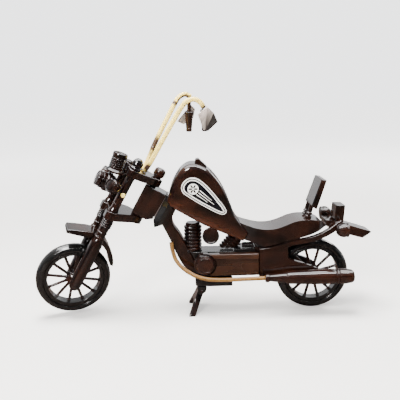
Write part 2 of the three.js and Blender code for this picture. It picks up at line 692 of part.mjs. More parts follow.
function frame() {
  const group = new THREE.Group();
  group.add(piece('down_tube', downTube(), LACQUER));
  group.add(piece('rear_block', rearBlock(), LACQUER));
  group.add(piece('tail_plate', tailPlate(), LACQUER));
  group.add(piece('taillight', taillight(), LACQUER));
  group.add(piece('bottom_board', bottomBoard(), LACQUER));
  group.add(piece('stand_pin', standPin(), LACQUER));
  group.add(piece('rear_axle', axle(REAR_AXLE), LACQUER));
  for (const [side, hand] of [[-1, 'left'], [1, 'right']]) {
    const plank = piece(`side_frame_${hand}`, sideFrame(), LACQUER);
    plank.position.y = side * (SIDE_FRAME.inner + SIDE_FRAME.thickness / 2);
    const post = piece(`backrest_post_${hand}`, backrestPost(), LACQUER);
    post.position.set(BACKREST_POST.x, side * BACKREST_POST.y, BACKREST_POST.z);
    post.rotation.y = BACKREST_POST.lean;
    group.add(plank, post, piece(`stand_bracket_${hand}`, standBracket(side), LACQUER));
  }
  group.add(piece('rear_signal_left', rearSignal(REAR_SIGNAL_LEFT), LACQUER));
  group.add(piece('rear_signal_right', rearSignal(REAR_SIGNAL_RIGHT), LACQUER));
  return group;
}

function tankAndSeat() {
  const group = new THREE.Group();
  group.add(piece('tank', tank(), LACQUER));
  group.add(piece('filler_cap', fillerCap(), LACQUER));
  for (const [side, hand] of [[-1, 'left'], [1, 'right']]) {
    const plaque = piece(`tank_badge_${hand}`, badge(), ENAMEL_WHITE);
    plaque.position.y = side * (TANK_WIDTH / 2 + GAP + BADGE_THICKNESS / 2);
    group.add(plaque);
  }
  group.add(piece('seat', seat(), LACQUER));
  group.add(piece('backrest_pad', backrestPad(), LACQUER));
  return group;
}

function engine() {
  const group = new THREE.Group();
  group.add(piece('crankcase', crankcase(), LACQUER));
  group.add(piece('cylinder_front', frontCylinder(), LACQUER));
  group.add(piece('cylinder_rear', rearCylinder(), LACQUER));
  group.add(piece('primary_cover', primaryCover(), GRAINED_LACQUER));
  group.add(piece('clutch_cover', clutchCover(), LACQUER));
  group.add(piece('timing_cover', timingCover(), LACQUER));
  group.add(piece('air_cleaner', airCleaner(), LACQUER));
  group.add(piece('starter_motor', starterMotor(), LACQUER));
  group.add(piece('exhaust_pipe', exhaustPipe(), CANE));
  group.add(piece('muffler', muffler(), LACQUER));
  return group;
}

const motorcycle = new THREE.Group();
const rearWheel = wheel('rear');
rearWheel.position.set(REAR_AXLE.x, 0, REAR_AXLE.z);
motorcycle.add(steeringHead(), frame(), tankAndSeat(), engine(), rearWheel);
motorcycle.add(piece('stand', stand(), LACQUER));

// The origin is under the middle of the whole model, on the surface it stands on.
motorcycle.updateMatrixWorld(true);
const extent = new THREE.Box3().setFromObject(motorcycle, true);
const centre = extent.getCenter(new THREE.Vector3());
motorcycle.position.set(-centre.x, -centre.y, -extent.min.z);

export default motorcycle;
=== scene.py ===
"""Lacquered wooden chopper motorcycle: the looks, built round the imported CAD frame.

Shapes are written in millimetres, in the frame of the piece that they belong to, and become metres when a
piece is made. +Z is up, the front of the motorcycle points to -X, and its left side to -Y.
"""

import math

import bmesh
import bpy
from mathutils import Matrix, Vector


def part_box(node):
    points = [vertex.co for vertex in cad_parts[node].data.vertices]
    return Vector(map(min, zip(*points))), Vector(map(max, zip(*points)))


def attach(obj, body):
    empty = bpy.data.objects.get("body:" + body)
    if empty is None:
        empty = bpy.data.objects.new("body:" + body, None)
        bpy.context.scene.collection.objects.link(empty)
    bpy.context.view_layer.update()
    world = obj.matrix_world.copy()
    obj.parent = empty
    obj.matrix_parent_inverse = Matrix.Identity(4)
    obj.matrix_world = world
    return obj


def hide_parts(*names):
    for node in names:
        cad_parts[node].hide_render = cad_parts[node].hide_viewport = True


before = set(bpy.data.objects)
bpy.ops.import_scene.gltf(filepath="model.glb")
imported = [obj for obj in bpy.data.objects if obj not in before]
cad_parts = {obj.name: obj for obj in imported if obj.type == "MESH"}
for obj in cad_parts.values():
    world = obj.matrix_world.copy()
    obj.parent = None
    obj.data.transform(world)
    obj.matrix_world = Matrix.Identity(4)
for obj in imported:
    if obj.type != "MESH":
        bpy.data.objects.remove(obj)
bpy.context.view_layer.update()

MM = 0.001
SHARP = math.radians(42)

# ---------------------------------------------------------------- driving dimensions

WHEEL_RADIUS = 42
WHEEL_WIDTH = 15.6
RING_INNER_RADIUS = 29.8
SPOKE_COUNT = 12
SPOKE_RADIUS = 1.7
HUB_RADIUS = 7.6
HUB_LENGTH = 17.4
AXLE_RADIUS = 2.5
REAR_AXLE = (131, 0, WHEEL_RADIUS)

RAKE = math.radians(29.3)
STEER_REST = math.radians(17.7)
STEM = (-64, 0, 130)
STEM_RADIUS = 4

LEG_X, LEG_Y = -32.3, 15.6
LEG_TOP, LEG_BOTTOM = 24.6, -120.5
FRONT_AXLE = (-33, 0, -113.3)
FRONT_AXLE_HALF_LENGTH, REAR_AXLE_HALF_LENGTH = 21.6, 19.4
YOKE_PLAN = [(-35, 8.6), (-39.6, 10.8), (-39.6, 19.4), (-36, 23.2), (-29.6, 23.6), (1, 11.5), (5, 8.5)]
HEADLIGHT = (-38.6, 0, 6)
LAMP_BAR_Z = 3.5
FRONT_SIGNAL = (-48, 25, 9.3)
FRONT_SIGNAL_RADIUS, FRONT_SIGNAL_SPIGOT = 7.4, 12.4
SIGNAL_TURN = math.radians(31)
GAUGE = (-46.5, 0, 19.3)
GAUGE_TILT = math.radians(-9)
BAR_RADIUS = 2.7
GUARD_Y = 25
GRIP_LEFT = (5.4, -18.6, 126.4)
GRIP_RIGHT = (3, 18.3, 115.6)
GRIP_RIGHT_SPIGOT = 13.2

TANK_WIDTH = 39
BADGE_THICKNESS = 1.2
GAP = 0.3
SIDE_FRAME_INNER, SIDE_FRAME_THICKNESS = 12.7, 7
REAR_SIGNAL_LEFT = (158.6, -28.9, 100)
REAR_SIGNAL_RIGHT = (152, 28.9, 107)
REAR_SIGNAL_RADIUS, REAR_SIGNAL_SPIGOT = 8, 7
BACKREST_POST = (123.6, 8, 111.4)
POST_LEAN = math.radians(16)

CRANKCASE_HALF_WIDTH = 13
FRONT_CYLINDER = (-8.4, 0, 74)
REAR_CYLINDER = (26, 0, 68.5)
REAR_CYLINDER_LEAN = math.radians(40)
CLUTCH_COVER = (4.6, 0, 61)
CLUTCH_RADIUS, CLUTCH_SPACE_RADIUS = 12.6, 12.9
PRIMARY_COVER_THICKNESS = 8.6
TIMING_COVER_THICKNESS = 5
AIR_CLEANER = (11.6, -7, 93.6)
STARTER_MOTOR = (60.4, -9, 80.1)
EXHAUST_RADIUS = 2.3
MUFFLER = (72, -29.5, 46.5)
STAND_PIVOT = (0.5, 0, 28)
STAND_LEAN = math.radians(22.3)
STAND_THICKNESS = 7
STAND_BRACKET_Y = 14.4
STAND_PIN_HALF_LENGTH = 18.4

# ---------------------------------------------------------------- places

axle_low, axle_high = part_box("rear_axle")
DESIGN = Matrix.Translation((axle_low + axle_high) / 2 - Vector(REAR_AXLE) * MM)


def shifted(place, offset):
    """The place moved by an offset in millimetres, in the place's own directions."""
    return place @ Matrix.Translation(Vector(offset) * MM)


def turn(angle, axis):
    return Matrix.Rotation(angle, 4, axis)


def seen_from(place, other):
    """The matrix that takes millimetres in the other place to millimetres in this one."""
    matrix = place.inverted() @ other
    matrix.translation = matrix.translation / MM
    return matrix


HEAD = shifted(DESIGN, STEM) @ turn(RAKE, "Y")
FORK = HEAD @ turn(STEER_REST, "Z")
# What a piece turned about its own Z needs for its +Z to point to -Y, to -X or to +X.
TO_LEFT = turn(math.pi / 2, "X")
TO_FRONT = turn(-math.pi / 2, "Y")
TO_REAR = turn(math.pi / 2, "Y")

# ---------------------------------------------------------------- outlines


def eased(points, radius, closed=True, steps=4):
    """The line with each sharp corner turned into an arc. The radius shrinks where the sides are short."""
    out = []
    count = len(points)
    for i, corner in enumerate(points):
        p = Vector(corner)
        if not closed and i in (0, count - 1):
            out.append(p)
            continue
        before, after = Vector(points[i - 1]) - p, Vector(points[(i + 1) % count]) - p
        bend = math.pi - before.angle(after)
        if bend < math.radians(14):
            out.append(p)
            continue
        reach = min(radius * math.tan(bend / 2), 0.45 * before.length, 0.45 * after.length)
        start, end = p + before.normalized() * reach, p + after.normalized() * reach
        for k in range(steps + 1):
            t = k / steps
            out.append(start * (1 - t) ** 2 + p * (2 * t * (1 - t)) + end * t ** 2)
    return out


def catmull(points, steps, closed=False):
    """Points on a centripetal Catmull-Rom curve through the given ones."""
    pts = [Vector(p) for p in points]
    if closed:
        pts = [pts[-1], *pts, pts[0], pts[1]]
    else:
        pts = [pts[0] * 2 - pts[1], *pts, pts[-1] * 2 - pts[-2]]
    out = []
    for i in range(1, len(pts) - 2):
        p0, p1, p2, p3 = pts[i - 1:i + 3]
        t1 = (p1 - p0).length ** 0.5
        t2 = t1 + (p2 - p1).length ** 0.5
        t3 = t2 + (p3 - p2).length ** 0.5
        for k in range(steps):
            t = t1 + (t2 - t1) * k / steps
            a1 = p0 * ((t1 - t) / t1) + p1 * (t / t1)
            a2 = p1 * ((t2 - t) / (t2 - t1)) + p2 * ((t - t1) / (t2 - t1))
            a3 = p2 * ((t3 - t) / (t3 - t2)) + p3 * ((t - t2) / (t3 - t2))
            b1 = a1 * ((t2 - t) / t2) + a2 * (t / t2)
            b2 = a2 * ((t3 - t) / (t3 - t1)) + a3 * ((t - t1) / (t3 - t1))
            out.append(b1 * ((t2 - t) / (t2 - t1)) + b2 * ((t - t1) / (t2 - t1)))
    if not closed:
        out.append(pts[-2])
    return out


def mirrored(outline):
    return [*outline, *[(x, -y) for x, y in reversed(outline)]]


def inset(outline, distance):
    """The closed outline moved inwards by the distance, which is one number or one for each point.

    A small arc is moved by less than its radius, so that it never turns inside out."""
    count = len(outline)
    area = sum(outline[i - 1][0] * outline[i][1] - outline[i][0] * outline[i - 1][1] for i in range(count))
    side = 1 if area > 0 else -1
    moves, limits = [], []
    for i in range(count):
        p = Vector(outline[i])
        before = (p - Vector(outline[i - 1])).normalized()
        after = (Vector(outline[(i + 1) % count]) - p).normalized()
        middle = before + after
        normal = Vector((-middle.y, middle.x)).normalized() * side
        square = Vector((-before.y, before.x)) * side
        moves.append(normal / max(normal.dot(square), 0.5))
        chord = Vector(outline[(i + 1) % count]) - Vector(outline[i - 1])
        limits.append(0.8 * chord.length / max(2 * before.cross(after) * side, 1e-3))
    out = []
    for i in range(count):
        amount = distance[i] if isinstance(distance, list) else distance
        limit = min(limits[i - 1], limits[i], limits[(i + 1) % count])
        out.append(Vector(outline[i]) + moves[i] * min(amount, limit))
    return out


# ---------------------------------------------------------------- solids


def tidy(bm):
    bmesh.ops.remove_doubles(bm, verts=bm.verts, dist=1e-4)
    bmesh.ops.dissolve_degenerate(bm, edges=bm.edges, dist=1e-4)
    bmesh.ops.recalc_face_normals(bm, faces=bm.faces)
    return bm


def skin(rings, capped=True, looped=False):
    """A solid skinned over rings of points, each ring closed on itself."""
    bm = bmesh.new()
    made = [[bm.verts.new(p) for p in ring] for ring in rings]
    pairs = list(zip(made, made[1:]))
    if looped:
        pairs.append((made[-1], made[0]))
    for low, high in pairs:
        for k in range(len(low)):
            bm.faces.new((low[k - 1], low[k], high[k], high[k - 1]))
    if capped and not looped:
        bm.faces.new(list(reversed(made[0])))
        bm.faces.new(made[-1])
    return tidy(bm)


def turned(profile, ease=0.5, segments=72, closed=False):
    """A round piece turned about Z. The profile is (radius, z) from the low end to the high end."""
    rings = []
    for r, z in eased(profile, ease, closed):
        angles = [2 * math.pi * k / segments for k in range(segments)]
        rings.append([(max(r, 0) * math.cos(a), max(r, 0) * math.sin(a), z) for a in angles])
    return skin(rings, capped=False, looped=closed)


def dowel(radius, low, high, ease=0.5, segments=40):
    return turned([(0, low), (radius, low), (radius, high), (0, high)], ease, segments)


def rounded_rings(line, depth, across, width, steps=4):
    """The rings of a board's skin: its outline, pulled in towards both faces over a quarter of an ellipse."""
    half = []
    for k in range(steps + 1):
        angle = math.pi / 2 * k / steps
        ring = inset(line, [d * (1 - math.sin(angle)) for d in depth])
        half.append((ring, width / 2 - across * (1 - math.cos(angle))))
    return [(ring, -level) for ring, level in half] + [(ring, level) for ring, level in reversed(half)]


def board(outline, width, ease=0.9, across=None, corner=0.8, steps=4):
    """A board sawn to a side outline (x, z), as wide as given across Y.

    Its edges are rounded by ease within the outline, one number or a function of the point, and by across
    over the width.
    """
    line = eased(outline, corner)
    depth = [ease(p) if callable(ease) else ease for p in line]
    rings = rounded_rings(line, depth, ease if across is None else across, width, steps)
    return skin([[(p.x, level, p.y) for p in ring] for ring, level in rings])


def cutter(outline):
    """A sharp-edged board, 60 mm wide, that other solids are cut with or trimmed to."""
    return board(outline, 60, 0.01, corner=0.1, steps=1)


def plate(outline, low, high, ease=0.8, corner=1.2):
    """A board sawn to a plan outline (x, y), between two heights."""
    line = eased(outline, corner)
    middle = (low + high) / 2
    rings = rounded_rings(line, [ease] * len(line), ease, high - low)
    return skin([[(p.x, p.y, middle + level) for p in ring] for ring, level in rings])


def tube(path, radius, segments=28, seen=None):
    """A rod along a path of points. The radius is one number or a function of the share of the way."""
    bm = bmesh.new()
    layer = bm.verts.layers.float.new("burn")
    pts = [Vector(p) for p in path]
    normal = Vector((0, 1, 0))
    rings = []
    for i, p in enumerate(pts):
        ahead = (pts[min(i + 1, len(pts) - 1)] - pts[max(i - 1, 0)]).normalized()
        normal = (normal - ahead * normal.dot(ahead)).normalized()
        side = ahead.cross(normal)
        t = i / (len(pts) - 1)
        r = radius(t) if callable(radius) else radius
        ring = []
        for k in range(segments):
            a = 2 * math.pi * k / segments
            direction = normal * math.cos(a) + side * math.sin(a)
            vert = bm.verts.new(p + direction * r)
            vert[layer] = seen(p, direction, t) if seen else 0.0
            ring.append(vert)
        rings.append(ring)
    for low, high in zip(rings, rings[1:]):
        for k in range(segments):
            bm.faces.new((low[k - 1], low[k], high[k], high[k - 1]))
    bm.faces.new(rings[0])
    bm.faces.new(rings[-1])
    bmesh.ops.recalc_face_normals(bm, faces=bm.faces)
    return bm


def placed(bm, matrix):
    bmesh.ops.transform(bm, matrix=matrix, verts=bm.verts)
    return bm


def merged(*solids):
    """One mesh of several separate shells."""
    whole = bmesh.new()
    for solid in solids:
        mesh = bpy.data.meshes.new("scratch")
        solid.to_mesh(mesh)
        solid.free()
        whole.from_mesh(mesh)
        bpy.data.meshes.remove(mesh)
    return whole


def scratch_object(bm):
    mesh = bpy.data.meshes.new("scratch")
    bm.to_mesh(mesh)
    bm.free()
    made = bpy.data.objects.new("scratch", mesh)
    bpy.context.scene.collection.objects.link(made)
    return made


def combined(operation, body, *tools):
    """The body with the tools cut from it (DIFFERENCE), or only what it shares with them (INTERSECT)."""
    subject = scratch_object(body)
    others = [scratch_object(tool) for tool in tools]
    for other in others:
        step = subject.modifiers.new("step", "BOOLEAN")
        step.operation, step.solver, step.object = operation, "MANIFOLD", other
    bpy.context.view_layer.update()
    mesh = bpy.data.meshes.new_from_object(subject.evaluated_get(bpy.context.evaluated_depsgraph_get()))
    result = bmesh.new()
    result.from_mesh(mesh)
    bpy.data.meshes.remove(mesh)
    for used in (subject, *others):
        data = used.data
        bpy.data.objects.remove(used)
        bpy.data.meshes.remove(data)
    return tidy(result)


def softened(bm, width, angle=32, segments=3):
    """The sharp edges that a cut left, rounded."""
    limit = math.radians(angle)
    edges = [e for e in bm.edges if e.is_manifold and e.calc_face_angle() > limit]
    bmesh.ops.bevel(bm, geom=edges, offset=width, segments=segments, profile=0.5, affect="EDGES",
                    clamp_overlap=True)
    return tidy(bm)


# ---------------------------------------------------------------- finishes


def feed(tree, made, inputs):
    """Set a shader node's inputs to numbers, colours or other nodes' sockets."""
    for socket, value in inputs.items():
        if isinstance(value, bpy.types.NodeSocket):
            tree.links.new(value, made.inputs[socket])
        else:
            made.inputs[socket].default_value = value


def node(tree, kind, inputs=None, **settings):
    made = tree.nodes.new(kind)
    for key, value in settings.items():
        setattr(made, key, value)
    feed(tree, made, inputs or {})
    return made


def object_place(tree):
    return node(tree, "ShaderNodeTexCoord").outputs["Object"]


def maths(tree, operation, *values, use_clamp=False):
    return node(tree, "ShaderNodeMath", dict(enumerate(values)), operation=operation,
                use_clamp=use_clamp).outputs[0]


def spread(tree, value, low, high, start=0.0, end=1.0, **settings):
    """The value with its range from low to high stretched to run from start to end."""
    return node(tree, "ShaderNodeMapRange", {
        "Value": value, "From Min": low, "From Max": high, "To Min": start, "To Max": end,
    }, **settings).outputs[0]


def bumped(tree, strength, distance, height):
    return node(tree, "ShaderNodeBump", {"Strength": strength, "Distance": distance,
                                         "Height": height}).outputs[0]


def new_material(name):
    material = bpy.data.materials.new(name)
    material.use_nodes = True
    return material, material.node_tree, material.node_tree.nodes["Principled BSDF"]


def ramp(tree, factor, *stops):
    """A colour ramp over (position, colour) stops."""
    made = node(tree, "ShaderNodeValToRGB", {"Fac": factor})
    elements = made.color_ramp.elements
    while len(elements) < len(stops):
        elements.new(0.5)
    for element, (position, colour) in zip(elements, stops):
        element.position, element.color = position, (*colour, 1)
    return made.outputs["Color"]


def grain_coordinates(tree, along, stretch=0.09):
    """Object coordinates squeezed along the grain, and moved by an amount of each piece's own."""
    place = object_place(tree)
    own = node(tree, "ShaderNodeObjectInfo").outputs["Random"]
    moved = node(tree, "ShaderNodeVectorMath", {0: own, 1: (1.7, 2.9, 0.8), 2: place},
                 operation="MULTIPLY_ADD")
    scale = tuple(stretch if axis == along else 1.0 for axis in "XYZ")
    return node(tree, "ShaderNodeMapping", {"Vector": moved.outputs[0], "Scale": scale}).outputs["Vector"]


def noise(tree, coordinates, scale, detail=3.0, roughness=0.5, distortion=0.0):
    return node(tree, "ShaderNodeTexNoise", {
        "Vector": coordinates, "Scale": scale, "Detail": detail, "Roughness": roughness,
        "Distortion": distortion,
    }).outputs["Fac"]


def mixed(tree, factor, a, b, blend="MIX"):
    made = node(tree, "ShaderNodeMix", data_type="RGBA", blend_type=blend)
    for socket, value in ((made.inputs["Factor"], factor), (made.inputs[6], a), (made.inputs[7], b)):
        if isinstance(value, bpy.types.NodeSocket):
            tree.links.new(value, socket)
        elif isinstance(value, tuple):
            socket.default_value = (*value, 1)
        else:
            socket.default_value = value
    return made.outputs[2]


def lacquered_wood(name, along, dark, light, warm, figure=0.5, coat_roughness=0.045):
    """Stained wood under a thick clear lacquer. The grain runs along one local axis.

    A mesh's tone attribute pulls the colour towards the third one, for reddish tones and for painted
    reflection and shade.
    """
    material, tree, shader = new_material(name)
    coordinates = grain_coordinates(tree, along)
    plain = object_place(tree)
    streaks = noise(tree, coordinates, 420, 6, 0.62, 0.6)
    bands = node(tree, "ShaderNodeTexWave", {
        "Vector": coordinates, "Scale": 46, "Distortion": 7, "Detail": 3, "Detail Scale": 1.4,
    }, wave_type="BANDS", bands_direction="Y" if along != "Y" else "X").outputs["Fac"]
    pattern = node(tree, "ShaderNodeMix", {"Factor": figure, 2: streaks, 3: bands},
                   data_type="FLOAT").outputs[0]
    wood = ramp(tree, pattern, (0.28, dark), (0.62, light))
    tone_and_painted_light_amount = node(tree, "ShaderNodeAttribute", attribute_name="warm").outputs["Fac"]
    thin = spread(tree, noise(tree, plain, 34, 3), 0.42, 0.72, end=0.4)
    # The mask: random thin staining, plus the mesh attribute, which is a reddish tone on some pieces and
    # painted reflection and shade on others.
    thin_stain_and_painted_light = maths(tree, "ADD", thin, tone_and_painted_light_amount, use_clamp=True)
    tone_and_painted_light_colour = mixed(tree, pattern, tuple(0.45 * c for c in warm), warm)
    feed(tree, shader, {
        "Base Color": mixed(tree, thin_stain_and_painted_light, wood, tone_and_painted_light_colour),
        "Roughness": spread(tree, noise(tree, plain, 210, 4), 0, 1, 0.3, 0.52),
        "Normal": bumped(tree, 0.25, 0.0002, noise(tree, coordinates, 1500, 3, 0.6)),
        "Coat Normal": bumped(tree, 0.05, 0.0006, noise(tree, plain, 60, 2, 0.4)),
        "Specular IOR Level": 0.04, "Coat Weight": 1.0, "Coat Roughness": coat_roughness,
    })
    return material


def bent_cane(name, dark, light, coat):
    """Scraped rattan with fine fibres and a satin varnish, dark where its attribute is high: at scorch marks,
    and as painted shade under the exhaust pipe.
    """
    material, tree, shader = new_material(name)
    fibres = noise(tree, grain_coordinates(tree, "Z", 0.05), 1700, 3, 0.6)
    patches = noise(tree, object_place(tree), 95, 3)
    pale = ramp(tree, fibres, (0.3, dark), (0.62, light))
    golden = mixed(tree, patches, (0.90, 0.80, 0.55), (1.0, 0.93, 0.72))
    body = mixed(tree, 1.0, pale, golden, "MULTIPLY")
    burn = node(tree, "ShaderNodeAttribute", attribute_name="burn").outputs["Fac"]
    edged = maths(tree, "MULTIPLY_ADD", maths(tree, "ADD", patches, -0.42), 1.1, burn)
    some_scorch_and_shade = maths(tree, "MULTIPLY", burn, 3.0, use_clamp=True)
    factor = maths(tree, "MULTIPLY", spread(tree, edged, 0.2, 0.85), some_scorch_and_shade)
    scorch_and_shade_colour = ramp(tree, fibres, (0.3, (0.022, 0.012, 0.007)), (0.7, (0.085, 0.042, 0.020)))
    feed(tree, shader, {
        "Base Color": mixed(tree, factor, body, scorch_and_shade_colour),
        "Roughness": spread(tree, fibres, 0, 1, 0.32, 0.5),
        "Normal": bumped(tree, 0.3, 0.0003, fibres),
        "Specular IOR Level": 0.2, "Coat Weight": coat, "Coat Roughness": 0.12,
    })
    return material


def enamel(name, colour, spots):
    """Printed enamel under varnish, with faint dirt in its orange-peel surface."""
    material, tree, shader = new_material(name)
    place = object_place(tree)
    dirt = noise(tree, place, 260, 5, 0.6)
    dirty = ramp(tree, dirt, (0.45, (0, 0, 0)), (0.8, (0.6, 0.6, 0.6)))
    feed(tree, shader, {
        "Base Color": mixed(tree, dirty, colour, spots),
        "Roughness": spread(tree, dirt, 0, 1, 0.22, 0.42),
        "Normal": bumped(tree, 0.12, 0.0002, noise(tree, place, 900, 2)),
        "Specular IOR Level": 0.05, "Coat Weight": 0.6, "Coat Roughness": 0.04,
    })
    return material


# The third colour is the wood's reddish tone; along the tank's lower edge it is also a painted reflection of
# the brown floor.
DARK, LIGHT, WOOD_RED_AND_PAINTED_REFLECTION = (0.0012, 0.0006, 0.0005), (0.0062, 0.0021, 0.0013), (0.046, 0.0120, 0.0042)
BROWN = {axis: lacquered_wood(f"brown_lacquer_{axis}", axis, DARK, LIGHT, WOOD_RED_AND_PAINTED_REFLECTION) for axis in "XYZ"}
BLACK = lacquered_wood("black_lacquer", "Y", (0.0022, 0.0023, 0.0021), (0.0050, 0.0048, 0.0044),
                       (0.008, 0.006, 0.005), coat_roughness=0.12)
GRAINED = {axis: lacquered_wood(f"grained_lacquer_{axis}", axis, (0.0026, 0.0011, 0.0007),
                                (0.0190, 0.0072, 0.0036), (0.050, 0.018, 0.008), 0.75) for axis in "XZ"}
# The guards' third colour, near black, is painted shade, used on the left guard's right wing.
GREYED = lacquered_wood("greyed_lacquer", "Z", (0.22, 0.19, 0.165), (0.55, 0.46, 0.41), (0.035, 0.03, 0.028),
                        0.4, 0.12)
CANE = bent_cane("bent_cane", (0.93, 0.70, 0.19), (1.0, 0.85, 0.30), 0.5)
SMOKED = bent_cane("bent_cane_smoked", (0.06, 0.026, 0.007), (0.21, 0.115, 0.036), 0.2)
WHITE = enamel("badge_white", (0.78, 0.77, 0.74), (0.52, 0.49, 0.44))
INK = enamel("badge_ink", (0.002, 0.002, 0.004), (0.006, 0.006, 0.006))


def make(node_name, bm, place, body, finish, name=None, warm=None):
    """A visible piece. It stands for the CAD node of that name, if one is named."""
    if warm:
        layer = bm.verts.layers.float.new("warm")
        for vert in bm.verts:
            vert[layer] = warm(vert.co)
    bmesh.ops.scale(bm, vec=(MM, MM, MM), verts=bm.verts)
    bm.normal_update()
    bmesh.ops.triangulate(bm, faces=[face for face in bm.faces if len(face.verts) > 4])
    for face in bm.faces:
        face.smooth = True
    for edge in bm.edges:
        edge.smooth = edge.calc_face_angle(0) < SHARP
    mesh = bpy.data.meshes.new(name or f"{node_name}_look")
    bm.to_mesh(mesh)
    bm.free()
    mesh.materials.append(finish)
    piece = bpy.data.objects.new(mesh.name, mesh)
    bpy.context.scene.collection.objects.link(piece)
    piece.matrix_world = place
    shading = piece.modifiers.new("even_shading", "WEIGHTED_NORMAL")
    shading.keep_sharp = True
    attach(piece, body)
    if node_name:
        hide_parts(node_name)
    return piece


# ---------------------------------------------------------------- wheels


def wheel(prefix, place, body):
    half = WHEEL_WIDTH / 2
    side = [(RING_INNER_RADIUS, half - 1.6), (33.4, half - 0.9), (33.9, half - 1.5), (34.5, half - 0.1),
            (36.6, half), (39.2, half - 1.1), (41.2, half - 3.6), (WHEEL_RADIUS, half - 6.4)]
    ring = turned([(r, -y) for r, y in side] + side[::-1], 0.7, 144, closed=True)
    make(f"{prefix}_wheel_ring", placed(ring, TO_LEFT), place, body, BLACK)
    end, bore, hub = HUB_LENGTH / 2, AXLE_RADIUS + 0.35, HUB_RADIUS
    profile = [(bore, -end), (4.6, -end), (5.0, -end + 0.9), (hub - 0.6, -end + 2.6), (hub, -end + 3.4),
               (hub, -3.1), (hub - 0.7, -2.7), (hub - 0.7, -2.2), (hub, -1.8)]
    barrel = placed(turned(profile + [(r, -z) for r, z in reversed(profile)], 0.3, 64, closed=True), TO_LEFT)
    thick, foot, rim = SPOKE_RADIUS, HUB_RADIUS - 1.2, RING_INNER_RADIUS + 0.1
    spokes = []
    for i in range(SPOKE_COUNT):
        spoke = turned([(0, foot), (thick + 0.25, foot), (thick + 0.25, 9.6), (thick - 0.1, 11), (thick, 20),
                        (thick - 0.1, 27.4), (thick + 0.2, 28.6), (thick + 0.2, rim), (0, rim)], 0.3, 16)
        spokes.append(placed(spoke, turn(2 * math.pi * (i + 0.5) / SPOKE_COUNT, "Y")))
    make(f"{prefix}_wheel_hub_and_spokes", merged(barrel, *spokes), place, body, BROWN["Z"],
         warm=lambda p: 0.12)


def axle(name, place, half_length, body):
    end = half_length
    rod = turned([(0, -end), (1.7, -end), (AXLE_RADIUS, -end + 0.7), (AXLE_RADIUS, end - 0.7), (1.7, end),
                  (0, end)], 0.3, 40)
    make(name, placed(rod, TO_LEFT), place, body, BROWN["Y"])


# ---------------------------------------------------------------- fork


def fork_leg():
    beads = []
    for i in range(4):
        z = -37.7 + 2.4 * i
        beads += [(5.3, z - 1.2), (6.3, z - 0.35), (6.3, z + 0.35)]
    return turned([
        (0, LEG_BOTTOM), (3.6, LEG_BOTTOM + 0.2), (5.6, LEG_BOTTOM + 2.2), (6.8, LEG_BOTTOM + 6.6),
        (7.1, -104), (7.3, -84), (7.2, -64), (6.9, -58.6), (5.9, -55.2), (5.4, -54), (6.3, -53.3), (6.5, -52),
        (6.3, -50.8), (5.3, -50.1), (5.3, -46.2), (5.8, -45.6), (5.8, -44.9), (5.3, -44.4), (5.4, -40.2),
        *beads, (5.5, -29), (5.6, -17), (4.7, -14), (4.6, -9.6), (5, -9), (4.6, -8.4), (4.6, 20.6),
        (5, LEG_TOP), (0, LEG_TOP),
    ], 0.35, 64)


def yokes():
    upper = plate(mirrored(YOKE_PLAN), 25, 33.6, 1.0, 2.4)
    make("upper_yoke", upper, FORK, "fork", BROWN["Y"])
    side = cutter([(-44, -28.8), (-24, -26.6), (-6, -23), (6, -22.6), (6, -14.2), (-10, -14.2), (-44, -20.4)])
    lower = combined("INTERSECT", plate(mirrored(YOKE_PLAN), -40, 0, 0.4, 2.4), side)
    make("lower_yoke", softened(lower, 0.8), FORK, "fork", BROWN["Y"])


def front_fender():
    outer = catmull([(-67, -58), (-54, -54.2), (-40, -51), (-29, -52.4), (-19, -57.6), (-10, -65),
                     (-3.5, -73.5), (-0.8, -80)], 5)
    inner = catmull([(-4.4, -80.6), (-8.8, -74.4), (-14, -68.2), (-22, -62.6), (-31, -59.6), (-44, -59.8),
                     (-67, -63)], 5)
    body = board([*outer, *inner], 24, 1.5, 1.9, corner=1.6)
    room = [placed(dowel(7.2 + GAP, -90, -40), Matrix.Translation((LEG_X, side * LEG_Y, 0)))
            for side in (-1, 1)]
    make("front_fender", combined("DIFFERENCE", body, *room), FORK, "fork", BROWN["X"])


def headlight():
    shell = turned([
        (0, 0), (4.6, 0.3), (7.2, 2.2), (8.8, 5), (9.6, 7.2), (10.7, 8.6), (10.9, 9.6), (10.3, 10.4),
        (10.9, 11.2), (10.9, 12.6), (10.2, 13.4), (9.3, 13.8), (9.5, 18.3), (0, 18.3)], 0.5, 80)
    place = shifted(FORK, HEADLIGHT) @ TO_FRONT
    peg = placed(dowel(3, -2.8, 2), Matrix.Translation((LAMP_BAR_Z - HEADLIGHT[2], 0, 0)))
    make("headlight_body", merged(shell, peg), place, "fork", BROWN["Z"])
    lens = turned([(0, 18.4), (8, 18.4), (8.6, 19.2), (8.6, 22.6), (8.2, 23.2), (7.4, 23.2), (7, 22.4),
                   (5, 23.3), (2.4, 23.9), (0, 24.1)], 0.3, 80)
    make("headlight_lens", lens, place, "fork", BROWN["Z"])


def gauge():
    ribs = []
    for i in range(5):
        z = 5.6 + 2.3 * i
        ribs += [(8.55 - 0.06 * i, z), (8.5 - 0.06 * i, z + 1.2), (7.9 - 0.06 * i, z + 1.6),
                 (7.9 - 0.06 * i, z + 2)]
    barrel = turned([
        (0, 0), (9.4, 0), (10.5, 0.7), (10.5, 2.3), (9.3, 3.4), (8.3, 4.2), (8.2, 5.2), *ribs, (7.9, 18),
        (8.3, 18.8), (8.3, 21), (7.9, 22.2), (6.9, 22.4), (6.5, 21.4), (0, 21.2)], 0.3, 80)
    make("gauge", barrel, shifted(FORK, GAUGE) @ turn(GAUGE_TILT, "Y"), "fork", BROWN["Z"])


